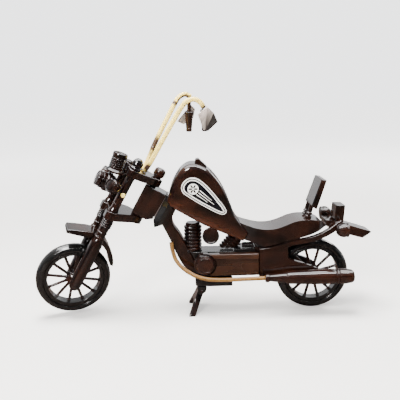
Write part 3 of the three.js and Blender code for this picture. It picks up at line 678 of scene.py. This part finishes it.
def bullet_lamp(radius, spigot):
    """A lamp that looks along its own +Z."""
    r = radius
    return turned([
        (0, -spigot), (2, -spigot), (2, -0.98 * r), (0.45 * r, -0.92 * r), (0.76 * r, -0.68 * r),
        (0.94 * r, -0.32 * r), (r, 0), (r, 0.26 * r), (0.93 * r, 0.34 * r), (0.93 * r, 0.44 * r),
        (0.99 * r, 0.5 * r), (0.97 * r, 0.66 * r), (0.84 * r, 0.7 * r), (0.8 * r, 0.6 * r),
        (0.5 * r, 0.72 * r), (0, 0.78 * r)], 0.3, 64)


def bar_burn(side):
    """Where a handlebar is burnt dark: at the bends, at its foot, and at the cane's joints."""
    def burn(p, direction, t):
        foot = max(0.0, 1 - abs(p.z - 40) / 9) if side < 0 else max(0.0, 1 - abs(p.z - 62) / 24)
        inside = max(0.0, 0.75 * direction.x - 0.65 * direction.z + 0.4)
        bend = inside * min(max((p.z - 112) / 10, 0.0), 1.0) * (1.3 if side > 0 else 0.35)
        joint = max(0.0, 1 - abs(p.z - 116) / 3.2) if side > 0 else 0.0
        front = 0.55 if side > 0 and p.z < 96 and direction.y < -0.2 else 0.0
        end = max(0.0, (t - 0.93) / 0.07) if side < 0 else 0.0
        return min(1.0, max(0.9 * foot * (direction.y < 0.3), bend, joint, front * foot, end))
    return burn


def handlebar(side, hand):
    route = [(-18.2, 4.8 * side, 34.2), (-17.2, 5.2 * side, 43), (-17.3, 6.9 * side, 52),
             (-17.9, 8.8 * side, 63), (-18.1, 10.5 * side, 78), (-18, 12 * side, 100),
             (-17.6, 13.5 * side, 116), (-16.2, 15 * side, 124), (-11, 17 * side, 130),
             (-3.5, 18 * side, 130.6)]
    if side < 0:
        route.append((3.6, -18.5, 127.4))

    def radius(t):
        joints = sum(math.exp(-((t - at) / 0.012) ** 2) for at in (0.31, 0.66))
        ends = min(t, 1 - t)
        return BAR_RADIUS * (1 + 0.07 * joints) - 0.5 * max(0.0, 1 - ends / 0.006)

    bar = tube(catmull(route, 14), radius, 32, bar_burn(side))
    make(f"handlebar_{hand}", bar, FORK, "fork", CANE)


def grips():
    profile = [(1.1, -21.6), (1.1, -23.6), (2.9, -23.6), (3.4, -22.8), (3.4, -20.4), (3.1, -19.8),
               (3.5, -19.2), (3.8, -14), (4.3, -6), (4.7, -4.4), (5.2, -2.6), (5.2, -0.8), (4.8, -0.4),
               (3.6, -0.6), (3.4, -1.6)]
    for name, place, spigot in (("grip_left", GRIP_LEFT, 0), ("grip_right", GRIP_RIGHT, GRIP_RIGHT_SPIGOT)):
        body = turned([(0, -21.4), *profile, (0, -1.8)], 0.25, 56)
        parts = [body]
        if spigot:
            parts.append(dowel(2.2, -1.9, spigot))
        make(name, merged(*parts), shifted(FORK, place) @ turn(-RAKE, "Y"), "fork", GRAINED["Z"])


def shield(left, ridge, right, side):
    """A carved shield of three facets: the ridge between its two wings stands proud."""
    bm = bmesh.new()

    def wall(points, level):
        return [bm.verts.new((x, GUARD_Y * side + side * level(x, z), z)) for x, z in points]

    outline = [ridge[0], *left, ridge[1], ridge[2], *right, ridge[3]]
    proud = {ridge[0], ridge[1], ridge[2], ridge[3]}
    outer = wall(outline, lambda x, z: 1.7 if (x, z) in proud else -0.2)
    inner = wall(outline, lambda x, z: -0.3 if (x, z) in proud else -1.6)
    lookup = dict(zip(outline, outer))
    behind = dict(zip(outline, inner))
    for facet in ([ridge[0], *left, ridge[1]], list(ridge), [ridge[2], *right, ridge[3]]):
        bm.faces.new([lookup[p] for p in facet])
        bm.faces.new([behind[p] for p in reversed(facet)])
    count = len(outline)
    for i in range(count):
        bm.faces.new((outer[i - 1], outer[i], inner[i], inner[i - 1]))
    return softened(tidy(bm), 0.45, 8, 3)


def hand_guards():
    left = shield([(-1, 118)], ((3, 130), (12.4, 106.4), (14.6, 107), (13.4, 127.6)),
                  [(18.2, 107.8), (23, 121)], -1)
    # Painted shade: the left guard's right wing, which faces away from the light, takes the guards' dark
    # third colour.
    make("hand_guard_left", left, FORK, "fork", GREYED, warm=lambda p: 1.0 if p.x > 13 else 0.0)
    right = shield([(0.4, 109)], ((4.6, 122.4), (-1, 98.4), (7.4, 99), (11, 120.6)), [(13.4, 110.4)], 1)
    make("hand_guard_right", right, FORK, "fork", GREYED)


def fork():
    for side, hand in ((-1, "left"), (1, "right")):
        leg = shifted(FORK, (LEG_X, side * LEG_Y, 0))
        make(f"fork_leg_{hand}", fork_leg(), leg, "fork", BROWN["Z"])
        cap = [(0, 33.6), (5.6, 33.7), (6.3, 34.3), (6.3, 35.6), (5.5, 36.6), (5.1, 37.4), (5.9, 38.6),
               (6.1, 40.4), (5.5, 43), (4, 45.6), (2, 46.9), (0, 47.2)]
        button = [(0, 33.6), (5.4, 33.7), (5.2, 34.9), (4.2, 35.8), (2, 36.2), (0, 36.3)]
        make(f"fork_cap_{hand}", turned(cap if side < 0 else button, 0.4, 56), leg, "fork", BROWN["Z"])
        x, y, z = FRONT_SIGNAL
        lamp = shifted(FORK, (x, side * y, z)) @ turn(-side * SIGNAL_TURN, "Z") @ TO_FRONT
        make(f"front_signal_{hand}", bullet_lamp(FRONT_SIGNAL_RADIUS, FRONT_SIGNAL_SPIGOT), lamp, "fork",
             BROWN["Z"])
        handlebar(side, hand)
    grips()
    hand_guards()
    yokes()
    front_fender()
    headlight()
    gauge()
    stem = turned([(0, -25.4), (2.8, -25.2), (STEM_RADIUS, -24), (STEM_RADIUS, 35.8), (0, 35.8)], 0.4)
    make("steering_stem", stem, FORK, "fork", BROWN["Z"])
    make("stem_nut", turned([(0, 33.8), (4.6, 33.8), (5, 35), (6, 35.8), (6.5, 37.2), (6.5, 41), (5.9, 43),
                             (4.2, 44.6), (0, 45)], 0.5, 56), FORK, "fork", BROWN["Z"], warm=lambda p: 0.35)
    crossbar = placed(turned([(0, -22), (1.9, -22), (2.4, -21.4), (2.4, 21.4), (1.9, 22), (0, 22)], 0.2, 36),
                      TO_LEFT)
    make("lamp_bar", crossbar, shifted(FORK, (LEG_X, 0, LAMP_BAR_Z)), "fork", CANE)
    axle("front_axle", shifted(FORK, FRONT_AXLE), FRONT_AXLE_HALF_LENGTH, "fork")
    wheel("front", shifted(FORK, FRONT_AXLE), "front_wheel")


# ---------------------------------------------------------------- steering head


TANK_TOP = [(-36.4, 134.5), (-32.4, 148.5), (-27, 160.5), (-20, 170.2), (-12.5, 175), (-4.5, 175.6),
            (4, 172.6), (11.4, 167.4), (18.2, 160), (24.6, 150.8), (30.4, 139.6), (35.4, 127), (40, 115),
            (54.6, 95.4)]


def tank_rounding(p):
    """The tank's edges are carved round at the front and the top, and stay crisp down the rear slope."""
    toward_rear = min(max((p.x + 10) / 45, 0.0), 1.0)
    from_chin = min(max(((p - Vector((-34, 129))).length - 1) / 12, 0.15), 1.0)
    return (8.0 * (1 - toward_rear) + 2.4 * toward_rear) * from_chin


def tank(grow=0.0):
    outline = [(-33.5, 129), *catmull(TANK_TOP, 4), (48.6, 86.4), (4, 106), (-26, 123.5)]
    if grow:
        outline = inset(outline, -grow)
    return board(outline, TANK_WIDTH + 2 * grow, tank_rounding, 5.5, corner=2.2, steps=6)


def steering_head():
    block = board([(-7.6, -13.4), (10.5, -13.4), (17, -9), (18.2, 22.6), (-7.6, 22.6)], 26, 1.0, corner=1.0)
    make("neck_block", block, HEAD, "root", BROWN["Z"])
    plan = plate(mirrored([(18.4, 13), (24.4, 19.4), (34, 19.4)]), -40, 60, 0.01, 0.2)
    side = cutter([(18.4, 22.6), (18.4, -10), (22.6, -15.6), (29, -8.5), (29, 14), (24.6, 17.5),
                   (21.6, 22.6)])
    body = combined("DIFFERENCE", combined("INTERSECT", plan, side),
                    placed(tank(0.4), seen_from(HEAD, DESIGN)))
    make("head_plate", softened(body, 0.7), HEAD, "root", BLACK)


# ---------------------------------------------------------------- tank, badges and seat


def tank_and_cap():
    # Painted reflection: a reddish band along the tank's lower edge, where the lacquer would mirror the brown
    # floor. The cuts below only give that band its vertices.
    def warm(p):
        low_edge = 123.5 - (p.x + 26) * 0.53
        return max(0.0, 1 - abs(p.z - low_edge - 3) / 15) * 0.75

    body = tank()
    for k in range(10):
        bmesh.ops.bisect_plane(body, geom=[*body.verts, *body.edges, *body.faces], dist=1e-4,
                               plane_co=(-26, 0, 123.5 + 2 * k + 1), plane_no=(0.53, 0, 1))
    make("tank", body, DESIGN, "root", BROWN["X"], warm=warm)
    cap = board([(-6.2, 172), (-3.6, 180), (-0.6, 180.4), (8.6, 171.4), (9, 166), (-6.2, 166)], 11, 1.0,
                corner=1.2)
    make("filler_cap", combined("DIFFERENCE", cap, tank(0.2)), DESIGN, "root", BROWN["X"])


BADGE = [(-20.6, 150.6), (-17, 157.4), (-10.6, 161), (-2.6, 160), (6, 153.8), (14, 145), (21.4, 135.6),
         (27.6, 127), (29.4, 122), (27.4, 119.4), (23.6, 119), (5, 128.4), (-13, 139.8), (-19.2, 145)]
BADGE_CENTRE = (-7.4, 148.6)
BADGE_TIP = (26, 122)
ROSETTE_RADIUS = 6.1
PETALS = 6
# Each pale stripe: how far it lies from the badge's axis, and where it starts and ends along the axis.
STRIPES = [(-2.6, 6.8, 22), (0.3, 7.4, 29), (3.2, 7.0, 24)]


def layer(outline, low, high):
    """A thin printed layer: a flat sheet between two heights over the badge's face."""
    return skin([[(p[0], -level, p[1]) for p in outline] for level in (low, high)])


def circle(centre, radius, count=48):
    return [(centre[0] + radius * math.cos(2 * math.pi * k / count),
             centre[1] + radius * math.sin(2 * math.pi * k / count)) for k in range(count)]


def badge(side, hand):
    """A teardrop plaque: a white rim, a black and a white line, and a black field with its emblem."""
    edge = catmull(BADGE, 5, closed=True)
    top = BADGE_THICKNESS - 0.15
    step = 0.07
    white, black = [board(edge, 2 * top, 0.35, corner=0.1, steps=3)], []
    for level, distance in enumerate((1.0, 2.2, 3.4)):
        target = white if level == 1 else black
        target.append(layer(inset(edge, distance), top - 0.1, top + step * (level + 1)))
    emblem = top + 4 * step
    white.append(layer(circle(BADGE_CENTRE, ROSETTE_RADIUS), top, emblem))
    for k in range(PETALS):
        angle = 2 * math.pi * k / PETALS
        petal = []
        for x, z in circle((ROSETTE_RADIUS * 0.5, 0), 1, 24):
            along, over = ROSETTE_RADIUS * 0.5 + 2.2 * (x - ROSETTE_RADIUS * 0.5), 0.95 * z
            petal.append((BADGE_CENTRE[0] + along * math.cos(angle) - over * math.sin(angle),
                          BADGE_CENTRE[1] + along * math.sin(angle) + over * math.cos(angle)))
        black.append(layer(petal, top, emblem + step))
    way = Vector(BADGE_TIP) - Vector(BADGE_CENTRE)
    ahead = way.normalized()
    aside = Vector((-ahead.y, ahead.x))
    for offset, start, end in STRIPES:
        base = Vector(BADGE_CENTRE) + aside * offset
        pull = -0.22 * offset
        bar = [base + ahead * start + aside * 0.5, base + ahead * start - aside * 0.5,
               base + ahead * end + aside * (pull - 0.2), base + ahead * end + aside * (pull + 0.2)]
        white.append(layer(bar, top, emblem))
    place = shifted(DESIGN, (0, side * (TANK_WIDTH / 2 + GAP * 0.4), 0))
    for shells, name, finish, replaced in ((white, None, WHITE, f"tank_badge_{hand}"),
                                           (black, f"tank_badge_print_{hand}", INK, None)):
        whole = merged(*shells)
        if side > 0:
            placed(whole, Matrix.Scale(-1, 4, (0, 1, 0)))
            bmesh.ops.reverse_faces(whole, faces=whole.faces)
        make(replaced, whole, place, "root", finish, name=name)


SEAT_TOP = [(40, 111), (48, 106.8), (56, 104), (64, 101.6), (74, 100.3), (84, 101), (94, 104), (103, 107.6),
            (111, 109.8), (121, 110.4), (131, 109.4), (138, 107)]
SEAT_UNDERSIDE = [(140, 99.6), (125, 93.2), (106, 88.3), (90, 84.6), (80, 81.8), (72, 80), (62, 84.2),
                  (55, 86.6), (44, 90)]


def seat():
    sawn = board([*catmull(SEAT_TOP, 4), *SEAT_UNDERSIDE], 50, 0.01, corner=0.6, steps=1)
    plan = plate(mirrored([(30, 15), (48, 16.6), (62, 19.6), (84, 21), (118, 21), (134, 19), (141, 13)]), 60,
                 130, 0.01, 4.0)
    body = combined("DIFFERENCE", combined("INTERSECT", sawn, plan), tank(GAP))
    make("seat", softened(body, 1.0, 40), DESIGN, "root", BROWN["X"])


def backrest():
    make("backrest_pad", board([(125.4, 125.4), (136.2, 155.8), (142.2, 154.6), (131.4, 121)], 34, 1.5,
                               corner=1.2),
         DESIGN, "root", BROWN["Z"])
    x, y, z = BACKREST_POST
    for side, hand in ((-1, "left"), (1, "right")):
        post = turned([(0, -0.6), (3.7, -0.6), (3.9, 0.6), (3.4, 1.6), (2.6, 2.2), (2.5, 2.8), (3.4, 3.4),
                       (3.6, 4.2), (3.2, 5.1), (2.5, 5.8), (2.5, 14), (0, 14)], 0.25, 48)
        make(f"backrest_post_{hand}", post, shifted(DESIGN, (x, side * y, z)) @ turn(POST_LEAN, "Y"), "root",
             BROWN["Z"])


# ---------------------------------------------------------------- frame


def down_tube():
    front = catmull([(-46.6, 112.6), (-40.5, 99.5), (-33.4, 84.6), (-27, 69), (-19.6, 55.6), (-10.5, 46.8),
                     (-6.4, 44.4)], 4)
    back = catmull([(2.4, 44.4), (-5.6, 60.6), (-14.6, 78), (-24, 95.4), (-30.6, 105.4), (-31.6, 113),
                    (-27.6, 122.4)], 4)
    outline = [*front, *back, (-33.8, 128.4), (-38, 124)]
    cylinder_space = placed(dowel(10.8, 72, 130), Matrix.Translation((FRONT_CYLINDER[0], 0, 0)))
    head_space = cutter([(0, 60), (0, -8.2), (17.9, -10.3), (22.5, -16.1), (29.3, -8.9), (29.3, 60)])
    body = combined("DIFFERENCE", board(outline, 17, 1.8, corner=1.0), cylinder_space,
                    placed(head_space, seen_from(DESIGN, HEAD)))
    make("down_tube", body, DESIGN, "root", BROWN["Z"])


def side_frames():
    rail_top = catmull([(80, 79.4), (90, 82.6), (105, 86.3), (118, 88.6), (130, 91.6), (142, 97),
                        (151, 103.6), (158.5, 109.4)], 4)
    rail_under = catmull([(162, 104.4), (152, 95.6), (138, 88), (124, 83.4), (108, 80.8), (99.4, 79.4)], 4)
    tail = catmull([(99.4, 67), (103.5, 64), (114, 60.4), (127, 55.6), (136.5, 50.6), (140.4, 43.6),
                    (138, 36.4), (131, 33.4), (110, 37.4), (88, 42.8)], 4)
    outline = [(66.4, 43.8), (66.4, 77.6), *rail_top, *rail_under, *tail]
    for side, hand in ((-1, "left"), (1, "right")):
        place = shifted(DESIGN, (0, side * (SIDE_FRAME_INNER + SIDE_FRAME_THICKNESS / 2), 0))
        make(f"side_frame_{hand}", board(outline, SIDE_FRAME_THICKNESS, 1.3, corner=1.0), place, "root",
             BROWN["X"])


def tail():
    make("rear_block", board([(62, 44), (62, 78.4), (70, 78.4), (80, 81.2), (84, 82.4), (84, 46)],
                             2 * SIDE_FRAME_INNER - 0.4, 0.6), DESIGN, "root", BROWN["X"])
    sawn = board([(143.4, 107.6), (151, 107), (164, 103.2), (197, 92.6), (186.4, 85.6), (175, 88.8),
                  (163, 92.6), (152, 97.2), (143.8, 101)], 50, 0.01, corner=0.6, steps=1)
    plan = plate(mirrored([(143, 11.8), (164, 12.2), (180, 12.2), (200, 11)]), 70, 130, 0.01, 1.5)
    make("tail_plate", softened(combined("INTERSECT", sawn, plan), 0.9), DESIGN, "root", BROWN["X"])
    make("taillight", board([(153.6, 107.9), (155.4, 124.4), (165.8, 124.2), (164.4, 105), (164, 103.3)], 20,
                            1.1, corner=1.0), DESIGN, "root", BROWN["Z"])
    for place, hand in ((REAR_SIGNAL_LEFT, "left"), (REAR_SIGNAL_RIGHT, "right")):
        side = math.copysign(1, place[1])
        reach = abs(place[1]) - SIDE_FRAME_INNER - SIDE_FRAME_THICKNESS - GAP
        stem = placed(dowel(2, 0, reach, 0.2), TO_LEFT if side > 0 else turn(-math.pi / 2, "X"))
        lamp = placed(bullet_lamp(REAR_SIGNAL_RADIUS, REAR_SIGNAL_SPIGOT), TO_REAR if side < 0 else TO_FRONT)
        make(f"rear_signal_{hand}", merged(lamp, stem), shifted(DESIGN, place), "root", BROWN["X"])


# ---------------------------------------------------------------- engine


def ribbed_cylinder(ribs, pitch, radius):
    profile = [(0, -0.2), (radius - 2, -0.2)]
    for i in range(ribs):
        z = pitch * i
        profile += [(radius - 2, z + 0.2), (radius - 0.5, z + 0.7), (radius, z + 1.4),
                    (radius, z + pitch - 1.6), (radius - 0.5, z + pitch - 0.9), (radius - 2, z + pitch - 0.4)]
    top = pitch * ribs
    return turned(profile + [(radius - 2, top + 2), (radius - 3.1, top + 3.2), (0, top + 3.2)], 0.35, 80)


def engine():
    case = board([(3.6, 44.2), (-4.6, 60.8), (-11.4, 73.7), (38, 73.7), (38, 76.4), (61.7, 76.4),
                  (61.7, 44.2)],
                 2 * CRANKCASE_HALF_WIDTH, 1.0, corner=1.0)
    make("crankcase", case, DESIGN, "root", BLACK)
    make("cylinder_front", ribbed_cylinder(7, 4.15, 10.4), shifted(DESIGN, FRONT_CYLINDER), "root",
         BROWN["Z"])
    lean = turn(REAR_CYLINDER_LEAN, "Y")
    leaning = placed(ribbed_cylinder(6, 3.8, 9.8), Matrix.Translation(REAR_CYLINDER) @ lean)
    below = cutter([(-20, 40), (-20, 76.6), (80, 76.6), (80, 40)])
    body = combined("DIFFERENCE", leaning, below, tank(0.4))
    make("cylinder_rear", body, DESIGN, "root", BROWN["Z"])

    x, _, z = CLUTCH_COVER
    face = -CRANKCASE_HALF_WIDTH - GAP
    cover = board([(-2, 47.4), (-2, 73), (65.8, 73), (65.8, 47.4)], PRIMARY_COVER_THICKNESS, 1.2, corner=1.2)
    boss = placed(dowel(CLUTCH_SPACE_RADIUS, -20, 20), Matrix.Translation((x, 0, z)) @ TO_LEFT)
    ahead_of_boss = cutter([(-20, 30), (-20, 100), (x, 100), (x, 30)])
    cover = combined("DIFFERENCE", cover, boss, ahead_of_boss)
    make("primary_cover", cover, shifted(DESIGN, (0, face - PRIMARY_COVER_THICKNESS / 2, 0)), "root",
         GRAINED["X"])
    clutch = turned([(0, 0), (CLUTCH_RADIUS, 0), (CLUTCH_RADIUS, 6.8), (11.9, 8), (10.5, 8.6), (10.5, 10.2),
                     (10.1, 11.2), (9.9, 12.6), (8.8, 13.7), (7.4, 14), (6.9, 13.5), (0, 13.8)], 0.4, 96)
    make("clutch_cover", placed(clutch, TO_LEFT), shifted(DESIGN, (x, face, z)), "root", BROWN["X"])
    timing = board([(-1, 50), (-4, 61), (2, 70.5), (20, 71), (27, 62), (24, 50)], TIMING_COVER_THICKNESS, 1.1,
                   corner=3.0)
    make("timing_cover", timing, shifted(DESIGN, (0, -face + TIMING_COVER_THICKNESS / 2, 0)), "root",
         BROWN["X"])

    disc = turned([(0, 0), (4, 0), (4, 5.8), (8, 6.3), (9.3, 7), (9.6, 8), (9.6, 10.9), (9, 11.8), (7.6, 12),
                   (7.1, 11.4), (0, 11.8)], 0.35, 80)
    disc = placed(disc, Matrix.Translation(AIR_CLEANER) @ TO_LEFT)
    make("air_cleaner", combined("DIFFERENCE", disc, tank(0.2)), DESIGN, "root", BROWN["X"])
    motor = [(0, 0), (2.6, 0), (3.4, 0.7), (3.4, 2.6), (3, 3), (3.4, 3.4)]
    for i in range(4):
        motor += [(3.4, 5 + 1.9 * i), (3, 5.4 + 1.9 * i), (3.4, 5.8 + 1.9 * i)]
    make("starter_motor", turned(motor + [(3.4, 12), (2.6, 12.8), (0, 12.8)], 0.2, 48),
         shifted(DESIGN, STARTER_MOTOR) @ TO_FRONT, "root", BLACK)


def exhaust():
    route = [(-33.4, -11.4, 86), (-32.2, -14, 78), (-28.2, -18.6, 66.6), (-19, -23.4, 57.2),
             (-8, -26.6, 50.8), (5, -28.6, 46.9), (18, -29.2, 45.7), (40, -29.5, 45.8),
             (71.5, MUFFLER[1], MUFFLER[2])]

    # The pipe darkens towards its engine end, and its lower side is darkened as painted shade.
    def burn(p, direction, t):
        painted_shade_below = max(0.0, -direction.z - 0.1)
        return min(1.0, max(0.95 - 1.6 * t, 0.0) * (0.45 + painted_shade_below) + 0.5 * painted_shade_below)

    make("exhaust_pipe", tube(catmull(route, 16), EXHAUST_RADIUS, 28, burn), DESIGN, "root", SMOKED)
    can = turned([
        (0, 0), (4.4, 0), (4.9, 0.6), (4.9, 3.8), (4.4, 4.4), (3.7, 4.8), (3.7, 5.4), (4.4, 10), (5.6, 20),
        (5.9, 23.4), (7.1, 24.4), (7.5, 32), (8.0, 46), (8.5, 62), (8.7, 77), (8.4, 78.6), (7.6, 79.6),
        (8.8, 80.6), (8.8, 81.9), (7.7, 82.8), (8.9, 83.8), (8.9, 85), (8.6, 91), (7.6, 97.4), (6.6, 99.4),
        (5.7, 100), (5.2, 98.8), (5, 95), (0, 95)], 0.3, 96)
    make("muffler", can, shifted(DESIGN, MUFFLER) @ TO_REAR, "root", BROWN["Z"], warm=lambda p: 0.12)


# ---------------------------------------------------------------- underside and stand


def underside():
    make("bottom_board", board([(-6.6, 34.6), (-6.6, 43.6), (36, 43.6), (36, 33.4), (8, 33.4)], 34, 0.9),
         DESIGN, "root", BLACK)
    for side, hand in ((-1, "left"), (1, "right")):
        ear = board([(-5, 33), (6.6, 33), (5, 26.6), (0.5, 23.8), (-3.6, 26.4)], 4, 0.6, corner=1.5)
        make(f"stand_bracket_{hand}", ear, shifted(DESIGN, (0, STAND_BRACKET_Y * side, 0)), "root", BLACK)
    end = STAND_PIN_HALF_LENGTH
    pin = turned([(0, -end), (1.1, -end), (1.6, -17.9), (1.6, 17.9), (1.1, end), (0, end)], 0.2, 32)
    make("stand_pin", placed(pin, TO_LEFT), shifted(DESIGN, STAND_PIVOT), "root", BROWN["Y"])


def stand():
    leg = catmull([(-11.6, -5), (-13.4, -12), (-17.6, -20), (-22.6, -27.6), (-25.6, -34)], 4)
    arch = catmull([(-17.6, -33.4), (-12.6, -24.6), (-6.6, -19.8), (0, -18.4)], 4)
    outline = [(-11.6, 3.6), *leg, (-25.6, -40), (-17.6, -40), *arch]
    shape = outline + [(-y, z) for y, z in reversed(outline[:-1])]
    flat = placed(board(shape, STAND_THICKNESS, 1.2, corner=2.2), turn(math.pi / 2, "Z"))
    leaning = placed(flat, Matrix.Translation(STAND_PIVOT) @ turn(STAND_LEAN, "Y"))
    below = plate([(-60, -60), (60, -60), (60, 60), (-60, 60)], -60, 0, 0.01, 0.1)
    make("stand", combined("DIFFERENCE", leaning, below), DESIGN, "stand", BROWN["Z"])


# ---------------------------------------------------------------- the room


# The room of the photo has a brown floor, which the lacquer reflects.
FLOOR_IN_REFLECTIONS = (0.036, 0.016, 0.008)
WALL_BEHIND_CAMERA, WALL_BEHIND_MODEL = (0.06, 0.06, 0.07), (1.25, 1.26, 1.28)
CEILING = (0.45, 0.46, 0.47)
BACKDROP = (3.0, 3.02, 3.06)


def floor():
    """A pale floor that glows more with distance for the camera, which hides its horizon."""
    bm = bmesh.new()
    bmesh.ops.create_grid(bm, x_segments=8, y_segments=8, size=6)
    mesh = bpy.data.meshes.new("floor")
    bm.to_mesh(mesh)
    bm.free()
    material, tree, shader = new_material("pale_floor")
    place = object_place(tree)
    tone = ramp(tree, noise(tree, place, 3.0, 3), (0.3, (0.77, 0.74, 0.70)), (0.7, (0.81, 0.78, 0.74)))
    rays = node(tree, "ShaderNodeLightPath").outputs
    distance = node(tree, "ShaderNodeVectorMath", {0: place}, operation="LENGTH").outputs["Value"]
    fading = spread(tree, distance, 0.3, 1.6, 0.45, 2.5, interpolation_type="SMOOTHSTEP")
    feed(tree, shader, {
        "Base Color": mixed(tree, rays["Is Glossy Ray"], tone, FLOOR_IN_REFLECTIONS), "Roughness": 0.5,
        "Emission Color": (1, 1, 1, 1),
        "Emission Strength": maths(tree, "MULTIPLY", rays["Is Camera Ray"], fading),
    })
    mesh.materials.append(material)
    made = bpy.data.objects.new("floor", mesh)
    bpy.context.scene.collection.objects.link(made)


LIGHT_TARGET = Vector((0, 0, 0.1))


def soft_box(name, location, size, power, colour=(1, 1, 1), glints=True, shading=True):
    """An area light aimed at the model, which can be hidden from glossy or from diffuse rays."""
    data = bpy.data.lights.new(name, "AREA")
    data.shape, data.size, data.size_y = "RECTANGLE", *size
    data.energy, data.color = power, colour
    made = bpy.data.objects.new(name, data)
    made.location = location
    made.visible_diffuse = shading
    made.visible_glossy = glints
    made.rotation_mode = "QUATERNION"
    made.rotation_quaternion = (LIGHT_TARGET - Vector(location)).to_track_quat("-Z", "Y")
    bpy.context.scene.collection.objects.link(made)


def room():
    """A pale room: a bright wall behind, a dimmer ceiling and a dark side behind the camera.

    The camera itself sees plain white, and only reflections and shading see the walls.
    """
    world = bpy.data.worlds.new("room")
    bpy.context.scene.world = world
    world.use_nodes = True
    tree = world.node_tree
    generated = node(tree, "ShaderNodeTexCoord").outputs["Generated"]
    direction = node(tree, "ShaderNodeSeparateXYZ", {0: generated}).outputs
    towards_back = spread(tree, direction["Y"], -0.35, 0.35)
    walls = ramp(tree, towards_back, (0.0, WALL_BEHIND_CAMERA), (1.0, WALL_BEHIND_MODEL))
    lit = mixed(tree, spread(tree, direction["Z"], 0.35, 0.8), walls, CEILING)
    camera_ray = node(tree, "ShaderNodeLightPath").outputs["Is Camera Ray"]
    feed(tree, tree.nodes["Background"], {"Color": mixed(tree, camera_ray, lit, BACKDROP), "Strength": 1.0})
    soft_box("ceiling_light", (-0.15, -0.1, 1.3), (0.7, 0.5), 75, glints=False)
    soft_box("front_light", (-0.55, -1.2, 0.95), (0.32, 0.32), 34, (1, 0.99, 0.97))
    soft_box("ceiling_panel", (0, 0.1, 1.3), (2.0, 0.9), 80, shading=False)
    soft_box("strip_light", (0, -0.5, 1.2), (1.7, 0.08), 30, shading=False)
    soft_box("far_window", (1.2, 1.0, 0.8), (0.5, 0.5), 12, (1, 0.98, 0.95))


SENSOR_WIDTH = 36
LENS = 48.978
CAMERA_SPOT = (-14.7, -610.3, 256.8)
CAMERA_YAW, CAMERA_PITCH, CAMERA_ROLL = math.radians(1.43), math.radians(11.56), math.radians(-1.0)


def camera():
    data = bpy.data.cameras.new("camera")
    data.sensor_width, data.lens = SENSOR_WIDTH, LENS
    made = bpy.data.objects.new("camera", data)
    place = shifted(DESIGN, CAMERA_SPOT) @ turn(-CAMERA_YAW, "Z") @ turn(math.pi / 2 - CAMERA_PITCH, "X")
    made.matrix_world = place @ turn(CAMERA_ROLL, "Z")
    bpy.context.scene.collection.objects.link(made)
    bpy.context.scene.camera = made


camera()
fork()
steering_head()
tank_and_cap()
badge(-1, "left")
badge(1, "right")
seat()
backrest()
down_tube()
side_frames()
tail()
engine()
exhaust()
underside()
stand()
axle("rear_axle", shifted(DESIGN, REAR_AXLE), REAR_AXLE_HALF_LENGTH, "root")
wheel("rear", shifted(DESIGN, REAR_AXLE), "rear_wheel")
floor()
room()
